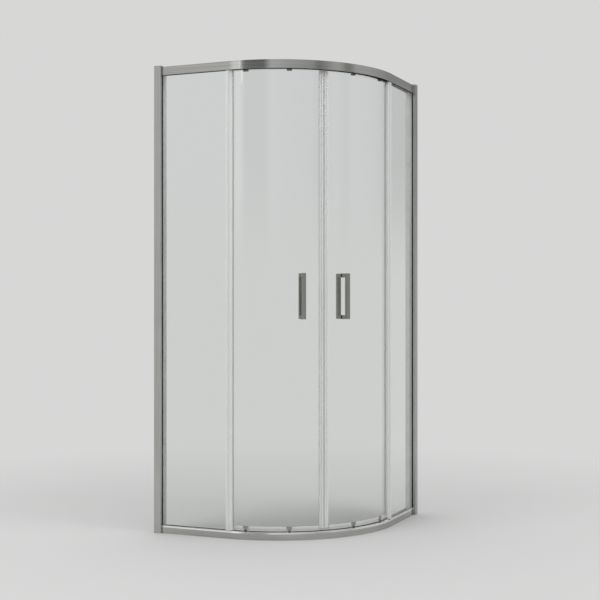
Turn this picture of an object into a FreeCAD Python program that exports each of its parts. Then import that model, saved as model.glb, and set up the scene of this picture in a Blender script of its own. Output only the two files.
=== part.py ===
import FreeCAD, Part
import math
import os
import Sketcher

# Quadrant shower enclosure, 900 x 900 x 2000 mm class, two curved doors that roll past two flat fixed panes.
# Frame: origin at floor level in the middle of the square footprint, +Z up. The walls stand at the -X and +Y
# sides, and the curved front faces +X -Y. The left half is modelled, and the right half mirrors it about the
# upright diagonal plane x = -y. "Bearing" is an angle about the arc's centre, from 0 where the left straight
# run meets the arc to 90 where the right one does. "Inset" is a distance inwards from the rails' outer face.

doc = FreeCAD.newDocument("QuadrantShowerEnclosure")
sheet = doc.addObject("Spreadsheet::Sheet", "Sizes")
nodes = {}


class Rule:
    """A size: the expression that the document keeps, and the number that it gives now."""

    def __init__(self, text, number):
        self.text = text
        self.number = number

    def join(self, sign, other, number):
        return Rule(f"({self.text} {sign} {as_rule(other).text})", number)

    def __add__(self, other):
        return self.join("+", other, self.number + as_rule(other).number)

    def __sub__(self, other):
        return self.join("-", other, self.number - as_rule(other).number)

    def __mul__(self, other):
        return self.join("*", other, self.number * as_rule(other).number)

    def __truediv__(self, other):
        return self.join("/", other, self.number / as_rule(other).number)

    def __neg__(self):
        return Rule(f"(0 - {self.text})", -self.number)


def as_rule(item):
    """The item as a rule: a bare number is its own expression."""
    if isinstance(item, Rule):
        return item
    return Rule(repr(float(item)), float(item))


def size(alias, number):
    """Puts one driving size in the sheet and returns the rule that reads it."""
    row = len([cell for cell in sheet.getUsedCells() if cell.startswith("A")]) + 1
    sheet.set(f"A{row}", alias)
    sheet.set(f"B{row}", str(number))
    sheet.setAlias(f"B{row}", alias)
    return Rule(f"Sizes.{alias}", float(number))


# ---- Driving sizes, mm and degrees -------------------------------------------------------------------

side = size("side", 895)
height = size("height", 2000)
corner_radius = size("corner_radius", 535)
post_proud = size("post_proud", 10)
post_width = size("post_width", 34)
sheet_wall = size("sheet_wall", 1.6)
fit_gap = size("fit_gap", 0.3)
slip_gap = size("slip_gap", 0.1)
running_gap = size("running_gap", 0.05)
wheel_side_gap = size("wheel_side_gap", 0.45)

rail_depth = size("rail_depth", 43)
rail_drop = size("rail_drop", 3.7)
top_rail_height = size("top_rail_height", 36.3)
bottom_rail_height = size("bottom_rail_height", 32)
channel_width = size("channel_width", 10.6)
ledge_rise = size("ledge_rise", 4)
ledge_thickness = size("ledge_thickness", 2)
groove_depth = size("groove_depth", 7)

glass_thickness = size("glass_thickness", 6)
fixed_glass_inset = size("fixed_glass_inset", 4)
top_channel_entry = size("top_channel_entry", 20)
door_glass_inset = size("door_glass_inset", 24)
door_foot_gap = size("door_foot_gap", 12)
door_top_overlap = size("door_top_overlap", 1)
trail_edge_bearing = size("trail_edge_bearing", 0.3)
lead_edge_bearing = size("lead_edge_bearing", 43.7)
trail_roller_bearing = size("trail_roller_bearing", 7.7)
lead_roller_bearing = size("lead_roller_bearing", 28.4)
handle_bearing = size("handle_bearing", 34.5)
door_sway = size("door_sway", 3.8)

wall_hole_diameter = size("wall_hole_diameter", 5)
wall_hole_first = size("wall_hole_first", 100)
wall_profile_reach = size("wall_profile_reach", 26)

upper_wheel_radius = size("upper_wheel_radius", 10)
upper_wheel_width = size("upper_wheel_width", 12)
lower_wheel_radius = size("lower_wheel_radius", 7.5)
lower_wheel_width = size("lower_wheel_width", 5)
axle_radius = size("axle_radius", 2.5)
bracket_width = size("bracket_width", 22)
bracket_sheet = size("bracket_sheet", 2)
bracket_grip = size("bracket_grip", 8)
neck_width = size("neck_width", 12)

handle_length = size("handle_length", 192)
handle_projection = size("handle_projection", 40)
handle_depth = size("handle_depth", 16)
handle_width = size("handle_width", 16)
handle_leg = size("handle_leg", 16)
handle_centre_height = size("handle_centre_height", 1013.5)
handle_edge_radius = size("handle_edge_radius", 1)
stud_radius = size("stud_radius", 3)
washer_radius = size("washer_radius", 9)
washer_thickness = size("washer_thickness", 1)

seal_wall = size("seal_wall", 1.4)
gasket_wall = size("gasket_wall", 2)
gasket_lip = size("gasket_lip", 0.8)
magnet_seal_reach = size("magnet_seal_reach", 20)
magnet_box_depth = size("magnet_box_depth", 9.5)
magnet_box_width = size("magnet_box_width", 13)
meeting_gap = size("meeting_gap", 0.6)
lip_gap = size("lip_gap", 1)
wall_gap = size("wall_gap", 1)
cap_thickness = size("cap_thickness", 2)
cap_plug = size("cap_plug", 8)
lock_screw_x = size("lock_screw_x", 18)
lock_screw_low = size("lock_screw_low", 250)
lock_screw_radius = size("lock_screw_radius", 2)
lock_screw_tail = size("lock_screw_tail", 5)
lock_head_radius = size("lock_head_radius", 4)
lock_head_height = size("lock_head_height", 2)
screw_cap_radius = size("screw_cap_radius", 6)
screw_cap_skin = size("screw_cap_skin", 2)
screw_cap_bevel = size("screw_cap_bevel", 1)
rail_screw_radius = size("rail_screw_radius", 2)
rail_screw_y = size("rail_screw_y", 37)
rail_screw_low = size("rail_screw_low", 7)
rail_screw_pitch = size("rail_screw_pitch", 11)
rail_screw_length = size("rail_screw_length", 20.8)
rail_head_radius = size("rail_head_radius", 3.6)
rail_head_height = size("rail_head_height", 2)
corner_block_length = size("corner_block_length", 24)
stop_run = size("stop_run", 180.6)
stop_length = size("stop_length", 14)
strip_bearing = size("strip_bearing", 2)
strip_foot_rise = size("strip_foot_rise", 4)
fixed_seal_grip = size("fixed_seal_grip", 12)
fixed_lip_reach = size("fixed_lip_reach", 15)
fixed_lip_bend = size("fixed_lip_bend", 11.2)
lip_tip = size("lip_tip", 1)
trail_seal_grip = size("trail_seal_grip", 9)
trail_lip_rise = size("trail_lip_rise", 9.5)
trail_lip_reach = size("trail_lip_reach", 9.5)
bottom_seal_grip = size("bottom_seal_grip", 10)
drip_fin_inset = size("drip_fin_inset", 2)
drip_fin_thickness = size("drip_fin_thickness", 1)
edge_margin = size("edge_margin", 1.3)
bracket_margin = size("bracket_margin", 1.35)
glass_hole_radius = size("glass_hole_radius", 6)
stud_depth = size("stud_depth", 10)
bracket_bridge = size("bracket_bridge", 1.6)
axle_head = size("axle_head", 1)
upper_head_radius = size("upper_head_radius", 4.5)
lower_head_radius = size("lower_head_radius", 3.5)
tread_groove = size("tread_groove", 2)
set_screw_radius = size("set_screw_radius", 1.5)
set_screw_spread = size("set_screw_spread", 8)
set_screw_proud = size("set_screw_proud", 1.5)

# ---- Sizes that follow from them ---------------------------------------------------------------------


def sine(angle):
    """Sine of an angle in degrees."""
    return Rule(f"sin({angle.text} * 1 deg)", math.sin(math.radians(angle.number)))


half_side = side / 2
wall_hole_run = height - wall_hole_first * 2
middle_bearing = as_rule(45)
straight = side - post_proud - corner_radius
centre_x = straight - half_side
centre_y = half_side - straight
rail_run = straight - post_width
stop_face = straight - stop_run

channel_end = sheet_wall + channel_width
divider_end = channel_end + sheet_wall
rail_back = rail_depth - sheet_wall

top_rail_top = height - rail_drop
top_rail_low = top_rail_top - top_rail_height
ledge_top = ledge_rise + ledge_thickness
ledge_start = door_glass_inset + door_sway

door_outer = corner_radius - door_glass_inset
door_inner = door_outer - glass_thickness
door_glass_low = bottom_rail_height + door_foot_gap
door_glass_top = top_rail_low + door_top_overlap
door_seal_top = top_rail_low - fit_gap * 2

upper_axle_z = top_rail_low + ledge_top + upper_wheel_radius + fit_gap
groove_floor = bottom_rail_height - groove_depth
groove_end = door_glass_inset + lower_wheel_width + door_sway + sheet_wall
lower_axle_z = groove_floor + lower_wheel_radius + fit_gap

fixed_glass_edge = post_width / 2
fixed_glass_low = bottom_rail_height / 2 + gasket_wall
fixed_glass_top = top_rail_low + top_channel_entry
post_depth = post_proud + rail_depth
profile_near = sheet_wall + fit_gap
profile_far = post_depth - profile_near
slot_start = post_proud + sheet_wall
slot_end = post_proud + channel_end
slot_floor = fixed_glass_edge - seal_wall
pane_front = post_proud + fixed_glass_inset
pane_back = pane_front + glass_thickness

RAIL_SCREW_HEIGHTS = (
    rail_screw_low,
    rail_screw_low + rail_screw_pitch,
    top_rail_low + ledge_top + rail_screw_low,
    top_rail_low + ledge_top + rail_screw_low + rail_screw_pitch,
)

# The bracket legs are flat, and stand just clear of the curved glass.
bracket_gap = fit_gap / 2
outer_leg_in = door_outer + bracket_gap
outer_leg_out = outer_leg_in + bracket_sheet
inner_leg_out = door_inner - fit_gap
inner_leg_in = inner_leg_out - bracket_sheet
wheel_start = outer_leg_in - wheel_side_gap

# ---- Sketches and features ---------------------------------------------------------------------------


def new_body(name):
    """Starts the PartDesign body of one piece."""
    body = doc.addObject("PartDesign::Body", name)
    body.Label = name
    return body


def point(pair):
    across, up = pair
    return FreeCAD.Vector(as_rule(across).number, as_rule(up).number, 0)


def draw(body, plane, loops=(), circles=(), offset=None):
    """Sketch on an origin plane of its body. A loop is a list of corners (across, up), and a circle is
    (across, up, radius). Every corner, centre and radius is bound to its rule. An offset moves the sketch
    along the plane's normal."""
    drawing = body.newObject("Sketcher::SketchObject", body.Name + "_sketch")
    face = next(item for item in body.Origin.OriginFeatures if item.Role == plane)
    drawing.AttachmentSupport = [(face, "")]
    drawing.MapMode = "FlatFace"
    shapes = []
    constraints = []
    bound = []

    def fix(kind, item, rule, spot=1):
        if kind == "Radius":
            constraint = Sketcher.Constraint(kind, item, as_rule(rule).number)
        else:
            constraint = Sketcher.Constraint(kind, -1, 1, item, spot, as_rule(rule).number)
        bound.append((len(constraints), as_rule(rule).text))
        constraints.append(constraint)

    for corners in loops:
        first = len(shapes)
        for step, corner in enumerate(corners):
            following = (step + 1) % len(corners)
            shapes.append(Part.LineSegment(point(corner), point(corners[following])))
            constraints.append(Sketcher.Constraint("Coincident", first + step, 2, first + following, 1))
            fix("DistanceX", first + step, corner[0])
            fix("DistanceY", first + step, corner[1])
    for across, up, radius in circles:
        shapes.append(Part.Circle(point((across, up)), FreeCAD.Vector(0, 0, 1), as_rule(radius).number))
        fix("DistanceX", len(shapes) - 1, across, spot=3)
        fix("DistanceY", len(shapes) - 1, up, spot=3)
        fix("Radius", len(shapes) - 1, radius)
    drawing.addGeometry(shapes, False)
    drawing.addConstraint(constraints)
    for index, text in bound:
        drawing.setExpression(f"Constraints[{index}]", text)
    if offset is not None:
        drawing.setExpression(".AttachmentOffset.Base.z", as_rule(offset).text)
    return drawing


def pad(body, drawing, length, back=False, middle=False):
    """Pads a sketch along its normal, against it, or half each way."""
    feature = body.newObject("PartDesign::Pad", body.Name + "_pad")
    feature.Profile = drawing
    feature.setExpression("Length", as_rule(length).text)
    feature.Reversed = back
    feature.Midplane = middle
    return feature


def pocket(body, drawing, length, along=False, middle=False):
    """Cuts a sketch into the body against the sketch's normal, or along it."""
    feature = body.newObject("PartDesign::Pocket", body.Name + "_pocket")
    feature.Profile = drawing
    feature.setExpression("Length", as_rule(length).text)
    feature.Reversed = along
    feature.Midplane = middle
    return feature


def turn(body, drawing, onward, backward=None, axis="V_Axis"):
    """Revolves a sketch about one of its own axes, from its plane onward and, where given, backward."""
    feature = body.newObject("PartDesign::Revolution", body.Name + "_turn")
    feature.Profile = drawing
    feature.ReferenceAxis = (drawing, [axis])
    feature.setExpression("Angle", as_rule(onward).text)
    if backward is not None:
        feature.Type = "TwoAngles"
        feature.setExpression("Angle2", as_rule(backward).text)
    return feature


def repeat(body, feature, drawing, length, count):
    """Repeats a feature upwards along its sketch's vertical axis."""
    pattern = body.newObject("PartDesign::LinearPattern", body.Name + "_row")
    pattern.Originals = [feature]
    pattern.Direction = (drawing, ["V_Axis"])
    pattern.setExpression("Length", as_rule(length).text)
    pattern.Occurrences = count
    body.Tip = pattern
    return pattern


def place(item, x, y, z=0, bearing=None):
    """Puts a piece at x, y, z. With a bearing its own +X points outwards from the arc's centre."""
    item.setExpression(".Placement.Base.x", as_rule(x).text)
    item.setExpression(".Placement.Base.y", as_rule(y).text)
    item.setExpression(".Placement.Base.z", as_rule(z).text)
    if bearing is not None:
        item.setExpression(".Placement.Rotation.Angle", (as_rule(bearing) - 90).text)


def on_arc(item, bearing=90, z=0):
    """Puts a piece in the frame of the arc's centre, turned to a bearing."""
    place(item, centre_x, centre_y, z, bearing)


def at_left_wall(item, z=0):
    """Puts a piece in the frame of the left post: x is the distance off the wall, y the distance inwards
    from the post's front face."""
    place(item, -half_side, -half_side, z)


def mirror(item, name):
    """The right-hand twin of a left-hand piece, in the diagonal plane."""
    twin = doc.addObject("Part::Mirroring", name)
    twin.Label = name
    twin.Source = item
    twin.Normal = (1, 1, 0)
    return twin


def group(items, name):
    """Like pieces that share one node, each a solid of its own."""
    bundle = doc.addObject("Part::Compound", name)
    bundle.Label = name
    bundle.Links = items
    return bundle


def keep(item):
    """Marks a piece as a node of the assembly."""
    nodes[item.Label] = item


def keep_pair(item, left_name, right_name):
    """Keeps a left-hand piece and its right-hand twin."""
    item.Label = left_name
    keep(item)
    keep(mirror(item, right_name))


def keep_both_sides(items, name):
    """Keeps left-hand pieces and their right-hand twins as one node."""
    twins = [mirror(item, item.Name + "_twin") for item in items]
    keep(group(items + twins, name))


def block(low_across, high_across, low_up, high_up):
    """Corners of an upright rectangle."""
    return [(low_across, low_up), (high_across, low_up), (high_across, high_up), (low_across, high_up)]


def radius_at(inset):
    """Distance from the arc's centre at an inset from the rails' outer face."""
    return corner_radius - inset


# ---- Wall profiles and posts -------------------------------------------------------------------------

WALL_HOLES = 4
LOCK_SCREW_HEIGHTS = (lock_screw_low, height / 2, height - lock_screw_low)


def wall_profile():
    """Channel screwed to the wall. The post telescopes over it to take up an uneven wall."""
    body = new_body("wall_profile_left")
    section = [
        (0, profile_near),
        (wall_profile_reach, profile_near),
        (wall_profile_reach, profile_near + sheet_wall),
        (sheet_wall, profile_near + sheet_wall),
        (sheet_wall, profile_far - sheet_wall),
        (wall_profile_reach, profile_far - sheet_wall),
        (wall_profile_reach, profile_far),
        (0, profile_far),
    ]
    pad(body, draw(body, "XY_Plane", [section]), height - cap_thickness)
    web_hole = draw(body, "YZ_Plane", circles=[(post_depth / 2, wall_hole_first, wall_hole_diameter / 2)])
    first_hole = pocket(body, web_hole, sheet_wall * 2, along=True, middle=True)
    repeat(body, first_hole, web_hole, wall_hole_run, WALL_HOLES)
    lock_holes(body)
    at_left_wall(body)
    keep_pair(body, "wall_profile_left", "wall_profile_right")


def lock_holes(body):
    """Clearance holes for the screws that lock post and wall profile together."""
    holes = [(lock_screw_x, level, lock_screw_radius + fit_gap / 2) for level in LOCK_SCREW_HEIGHTS]
    drawing = draw(body, "XZ_Plane", circles=holes, offset=-post_depth)
    pocket(body, drawing, sheet_wall * 3, along=True)


def side_post():
    """Upright post: a cover channel with the slot that holds the fixed pane's upright edge."""
    body = new_body("side_post_left")
    inner_face = post_width - sheet_wall
    section = [
        (wall_gap, 0),
        (post_width, 0),
        (post_width, slot_start),
        (slot_floor, slot_start),
        (slot_floor, slot_end),
        (post_width, slot_end),
        (post_width, post_depth),
        (wall_gap, post_depth),
        (wall_gap, post_depth - sheet_wall),
        (inner_face, post_depth - sheet_wall),
        (inner_face, slot_end + sheet_wall),
        (slot_floor - sheet_wall, slot_end + sheet_wall),
        (slot_floor - sheet_wall, slot_start - sheet_wall),
        (inner_face, slot_start - sheet_wall),
        (inner_face, sheet_wall),
        (wall_gap, sheet_wall),
    ]
    pad(body, draw(body, "XY_Plane", [section]), height - cap_thickness)
    lock_holes(body)
    web_holes = [(rail_screw_y, level, rail_screw_radius + fit_gap / 2) for level in RAIL_SCREW_HEIGHTS]
    drawing = draw(body, "YZ_Plane", circles=web_holes, offset=post_width)
    pocket(body, drawing, sheet_wall * 2)
    at_left_wall(body)
    keep_pair(body, "side_post_left", "side_post_right")


def profile_cap():
    """Moulded cap on the post's top, with a plug that fits into its rear chamber."""
    body = new_body("profile_cap_left")
    plate = draw(body, "XY_Plane", [block(0, post_width, 0, post_depth)])
    pad(body, plate, cap_thickness)
    plug = block(
        sheet_wall + fit_gap,
        post_width - sheet_wall - fit_gap,
        slot_end + sheet_wall + fit_gap,
        profile_far - sheet_wall - fit_gap,
    )
    pad(body, draw(body, "XY_Plane", [plug]), cap_plug, back=True)
    at_left_wall(body, height - cap_thickness)
    keep_pair(body, "profile_cap_left", "profile_cap_right")


def lock_screws():
    """Pan-head screws from the inside through post and wall profile, under push-on caps."""
    screws = []
    caps = []
    reach = sheet_wall * 2 + fit_gap + lock_screw_tail
    rim = lock_head_radius + fit_gap
    ceiling = lock_head_height + fit_gap
    crown = lock_head_height + screw_cap_skin
    for number, level in enumerate(LOCK_SCREW_HEIGHTS, start=1):
        screw = new_body(f"lock_screw_{number}")
        shank = draw(screw, "XZ_Plane", circles=[(0, 0, lock_screw_radius)])
        pad(screw, shank, reach)
        head = draw(screw, "XZ_Plane", circles=[(0, 0, lock_head_radius)])
        pad(screw, head, lock_head_height, back=True)
        place(screw, lock_screw_x - half_side, post_depth - half_side, level)
        screws.append(screw)
        cap = new_body(f"lock_cap_{number}")
        section = [
            (rim, 0),
            (screw_cap_radius, 0),
            (screw_cap_radius - screw_cap_bevel, crown - screw_cap_bevel / 2),
            (0, crown),
            (0, ceiling),
            (rim, ceiling),
        ]
        turn(cap, draw(cap, "XY_Plane", [section]), 360)
        place(cap, lock_screw_x - half_side, post_depth - half_side, level)
        caps.append(cap)
    keep_both_sides(screws, "post_lock_screws")
    keep_both_sides(caps, "lock_screw_caps")


# ---- Rails -------------------------------------------------------------------------------------------


def bent_extrusion(body, loops):
    """One section bent round the quarter arc with a straight run to each post. The loops hold (inset, up)."""
    radial = [[(radius_at(inset), up) for inset, up in loop] for loop in loops]
    facing_front = [[(-radius_at(inset), up) for inset, up in loop] for loop in loops]
    right_section = draw(body, "XZ_Plane", radial)
    turn(body, right_section, 0, 90)
    pad(body, right_section, rail_run, back=True)
    left_section = draw(body, "YZ_Plane", facing_front)
    pad(body, left_section, rail_run, back=True)


def top_rail():
    """Rail that carries the doors: a channel for the fixed panes in front, and behind it a roller chamber
    with a slot for the bracket necks and a ledge on which the wheels run."""
    body = new_body("top_rail")
    roof = top_rail_height - sheet_wall
    section = [
        (0, 0),
        (sheet_wall, 0),
        (sheet_wall, roof),
        (channel_end, roof),
        (channel_end, 0),
        (divider_end, 0),
        (divider_end, roof),
        (rail_back, roof),
        (rail_back, ledge_top),
        (ledge_start, ledge_top),
        (ledge_start, ledge_rise),
        (rail_depth, ledge_rise),
        (rail_depth, top_rail_height),
        (0, top_rail_height),
    ]
    bent_extrusion(body, [section])
    on_arc(body, z=top_rail_low)
    keep(body)


def bottom_rail():
    """Threshold rail: a channel for the fixed panes, a groove for the guide wheels and a hollow below."""
    body = new_body("bottom_rail")
    channel_floor = bottom_rail_height / 2
    outline = [
        (0, 0),
        (rail_depth, 0),
        (rail_depth, bottom_rail_height),
        (groove_end, bottom_rail_height),
        (groove_end, groove_floor),
        (divider_end, groove_floor),
        (divider_end, bottom_rail_height),
        (channel_end, bottom_rail_height),
        (channel_end, channel_floor),
        (sheet_wall, channel_floor),
        (sheet_wall, bottom_rail_height),
        (0, bottom_rail_height),
    ]
    hollow = [
        (sheet_wall, sheet_wall),
        (rail_back, sheet_wall),
        (rail_back, bottom_rail_height - sheet_wall),
        (groove_end + sheet_wall, bottom_rail_height - sheet_wall),
        (groove_end + sheet_wall, groove_floor - sheet_wall),
        (divider_end, groove_floor - sheet_wall),
        (divider_end, channel_floor - sheet_wall),
        (sheet_wall, channel_floor - sheet_wall),
    ]
    bent_extrusion(body, [outline, hollow])
    on_arc(body)
    keep(body)


def threshold_strip():
    """Snap-in strip that closes the bottom channel between the two fixed panes."""
    body = new_body("threshold_strip")
    leg = seal_wall
    lid = bottom_rail_height - seal_wall
    foot = bottom_rail_height / 2 + strip_foot_rise
    section = [
        (sheet_wall, lid),
        (sheet_wall, foot),
        (sheet_wall + leg, foot),
        (sheet_wall + leg, lid),
        (channel_end - leg, lid),
        (channel_end - leg, foot),
        (channel_end, foot),
        (channel_end, bottom_rail_height),
        (sheet_wall, bottom_rail_height),
    ]
    radial = [(radius_at(inset), up) for inset, up in section]
    reach = middle_bearing - strip_bearing
    turn(body, draw(body, "XZ_Plane", [radial]), reach, reach)
    on_arc(body, bearing=middle_bearing)
    keep(body)


def corner_brackets():
    """Blocks inside the rail ends, each held by two screws through the post's web."""
    top = new_body("top_corner_block")
    low = ledge_top
    high = top_rail_height - sheet_wall - fit_gap
    outline = block(post_proud + divider_end + fit_gap, post_depth - sheet_wall - fit_gap, low, high)
    pad(top, draw(top, "YZ_Plane", [outline], offset=post_width), corner_block_length)
    at_left_wall(top, top_rail_low)
    low_block = new_body("bottom_corner_block")
    outline = [
        (post_proud + sheet_wall + fit_gap, sheet_wall),
        (post_depth - sheet_wall - fit_gap, sheet_wall),
        (post_depth - sheet_wall - fit_gap, groove_floor - sheet_wall - fit_gap),
        (post_proud + divider_end + fit_gap, groove_floor - sheet_wall - fit_gap),
        (post_proud + divider_end + fit_gap, bottom_rail_height / 2 - sheet_wall - fit_gap),
        (post_proud + sheet_wall + fit_gap, bottom_rail_height / 2 - sheet_wall - fit_gap),
    ]
    pad(low_block, draw(low_block, "YZ_Plane", [outline], offset=post_width), corner_block_length)
    at_left_wall(low_block)
    screws = []
    for body, base, levels in (
        (top, top_rail_low, RAIL_SCREW_HEIGHTS[2:]),
        (low_block, as_rule(0), RAIL_SCREW_HEIGHTS[:2]),
    ):
        holes = [(rail_screw_y, level - base, rail_screw_radius + fit_gap / 2) for level in levels]
        drawing = draw(body, "YZ_Plane", circles=holes, offset=post_width + corner_block_length)
        pocket(body, drawing, corner_block_length)
    for number, level in enumerate(RAIL_SCREW_HEIGHTS, start=1):
        screw = new_body(f"rail_screw_{number}")
        shank = draw(screw, "YZ_Plane", circles=[(0, 0, rail_screw_radius)])
        pad(screw, shank, rail_screw_length)
        head = draw(screw, "YZ_Plane", circles=[(0, 0, rail_head_radius)])
        pad(screw, head, rail_head_height, back=True)
        place(screw, post_width - sheet_wall - half_side, rail_screw_y - half_side, level)
        screws.append(screw)
    keep_both_sides([top, low_block], "corner_brackets")
    keep_both_sides(screws, "rail_screws")


def door_stops():
    """Rubber block in the top rail's roller chamber, where the trailing wheel comes to rest."""
    body = new_body("door_stop")
    outline = block(
        post_proud + divider_end + fit_gap,
        post_depth - sheet_wall - fit_gap,
        ledge_top,
        ledge_top + upper_wheel_radius * 2,
    )
    pad(body, draw(body, "YZ_Plane", [outline], offset=stop_face), stop_length, back=True)
    at_left_wall(body, top_rail_low)
    keep_both_sides([body], "door_stops")


# ---- Fixed panes -------------------------------------------------------------------------------------


def fixed_glass():
    """Flat safety-glass pane between the post and the arc's tangent point."""
    body = new_body("fixed_glass_left")
    outline = block(fixed_glass_edge, straight, pane_front, pane_back)
    pad(body, draw(body, "XY_Plane", [outline]), fixed_glass_top - fixed_glass_low)
    at_left_wall(body, fixed_glass_low)
    keep_pair(body, "fixed_glass_left", "fixed_glass_right")


def fixed_edge_seal():
    """Clear seal on the pane's free edge, with a lip that leans towards the door."""
    body = new_body("fixed_edge_seal_left")
    front = pane_front - seal_wall
    back = pane_back + seal_wall
    base = straight + fit_gap
    section = [
        (straight - fixed_seal_grip, front),
        (base + seal_wall, front),
        (base + fixed_lip_bend, pane_back - seal_wall),
        (base + fixed_lip_reach, back - lip_tip / 2),
        (base + fixed_lip_reach - lip_tip, back + lip_tip / 2),
        (base + fixed_lip_bend - lip_tip, pane_back),
        (base + seal_wall, back),
        (straight - fixed_seal_grip, back),
        (straight - fixed_seal_grip, pane_back),
        (base, pane_back),
        (base, pane_front),
        (straight - fixed_seal_grip, pane_front),
    ]
    low = bottom_rail_height + lip_gap
    pad(body, draw(body, "XY_Plane", [section]), door_seal_top - low)
    at_left_wall(body, low)
    keep_pair(body, "fixed_edge_seal_left", "fixed_edge_seal_right")


def pane_gaskets():
    """Glazing gaskets round the fixed pane: one in the post's slot, and one in each rail's channel."""
    post_gasket = new_body("post_gasket")
    mouth = post_width + gasket_lip
    section = [
        (slot_floor, slot_start),
        (mouth, slot_start),
        (mouth, pane_front),
        (fixed_glass_edge, pane_front),
        (fixed_glass_edge, pane_back),
        (mouth, pane_back),
        (mouth, slot_end),
        (slot_floor, slot_end),
    ]
    low = fixed_glass_low - gasket_wall
    high = fixed_glass_top + gasket_wall
    pad(post_gasket, draw(post_gasket, "XY_Plane", [section]), high - low)
    at_left_wall(post_gasket, low)
    keep_both_sides([post_gasket], "post_gaskets")

    bottom_gasket = new_body("bottom_gasket")
    top_gasket = new_body("top_gasket")
    for body, root, floor, lip in (
        (bottom_gasket, low, fixed_glass_low, bottom_rail_height + gasket_lip),
        (top_gasket, high, fixed_glass_top, top_rail_low - gasket_lip),
    ):
        section = [
            (slot_start, root),
            (slot_end, root),
            (slot_end, lip),
            (pane_back, lip),
            (pane_back, floor),
            (pane_front, floor),
            (pane_front, lip),
            (slot_start, lip),
        ]
        drawing = draw(body, "YZ_Plane", [section], offset=mouth)
        pad(body, drawing, straight - fixed_seal_grip - fit_gap - mouth)
        at_left_wall(body)
    keep_both_sides([bottom_gasket, top_gasket], "rail_gaskets")


# ---- Doors: glass and seals --------------------------------------------------------------------------

SAME_PLACE = 0.001
HANDLE_STUD_HEIGHTS = (
    handle_centre_height - handle_length / 2 + handle_leg / 2,
    handle_centre_height + handle_length / 2 - handle_leg / 2,
)


def door_glass():
    """Curved safety-glass door leaf with two holes for the handle's studs."""
    body = new_body("door_glass_left")
    section = block(door_inner, door_outer, 0, door_glass_top - door_glass_low)
    onward = lead_edge_bearing - handle_bearing
    backward = handle_bearing - trail_edge_bearing
    turn(body, draw(body, "XZ_Plane", [section]), onward, backward)
    holes = [(0, level - door_glass_low, glass_hole_radius) for level in HANDLE_STUD_HEIGHTS]
    drawing = draw(body, "YZ_Plane", circles=holes)
    pocket(body, drawing, corner_radius, along=True)
    on_arc(body, bearing=handle_bearing, z=door_glass_low)
    keep_pair(body, "door_glass_left", "door_glass_right")


def magnetic_seal():
    """Clip on the leading edge with a box that holds the magnet strip, facing its twin at bearing 45."""
    body = new_body("magnetic_seal_left")
    middle = (door_outer + door_inner) / 2
    box_in = middle - magnet_box_width / 2
    box_out = middle + magnet_box_width / 2
    face = -(meeting_gap / 2)
    box_back = face - magnet_box_depth
    edge = -(middle * sine(middle_bearing - lead_edge_bearing)) + fit_gap
    tail = face - magnet_seal_reach
    outer_leg = door_outer + bracket_gap
    inner_leg = door_inner - fit_gap * 2
    section = [
        (box_in, face),
        (box_out, face),
        (box_out, box_back),
        (outer_leg + seal_wall, box_back),
        (outer_leg + seal_wall, tail),
        (outer_leg, tail),
        (outer_leg, edge),
        (inner_leg, edge),
        (inner_leg, tail),
        (inner_leg - seal_wall, tail),
        (inner_leg - seal_wall, box_back),
        (box_in, box_back),
    ]
    cavity = block(box_in + seal_wall, box_out - seal_wall, box_back + seal_wall, face - seal_wall)
    pad(body, draw(body, "XY_Plane", [section, cavity]), door_seal_top - door_glass_low)
    on_arc(body, bearing=middle_bearing, z=door_glass_low)
    keep_pair(body, "magnetic_seal_left", "magnetic_seal_right")

    magnet = new_body("magnet_strip_left")
    strip = block(
        box_in + seal_wall + slip_gap,
        box_out - seal_wall - slip_gap,
        box_back + seal_wall + slip_gap,
        face - seal_wall - slip_gap,
    )
    pad(magnet, draw(magnet, "XY_Plane", [strip]), door_seal_top - door_glass_low)
    on_arc(magnet, bearing=middle_bearing, z=door_glass_low)
    keep_pair(magnet, "magnet_strip_left", "magnet_strip_right")


def trailing_seal():
    """Clip on the trailing edge with a lip that reaches towards the fixed pane's seal."""
    body = new_body("trailing_seal_left")
    inner_leg = door_inner - fit_gap
    outer_leg = door_outer + bracket_gap
    base = as_rule(-fit_gap)
    back = base - seal_wall
    tip = outer_leg + trail_lip_rise
    section = [
        (inner_leg - seal_wall, trail_seal_grip),
        (inner_leg, trail_seal_grip),
        (inner_leg, base),
        (outer_leg, base),
        (outer_leg, trail_seal_grip),
        (outer_leg + seal_wall, trail_seal_grip),
        (outer_leg + seal_wall, base),
        (tip, back - trail_lip_reach),
        (tip - lip_tip, back - trail_lip_reach - lip_tip),
        (door_outer - seal_wall, back),
        (inner_leg - seal_wall, back),
    ]
    pad(body, draw(body, "XY_Plane", [section]), door_seal_top - door_glass_low)
    on_arc(body, bearing=trail_edge_bearing, z=door_glass_low)
    keep_pair(body, "trailing_seal_left", "trailing_seal_right")


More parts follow.
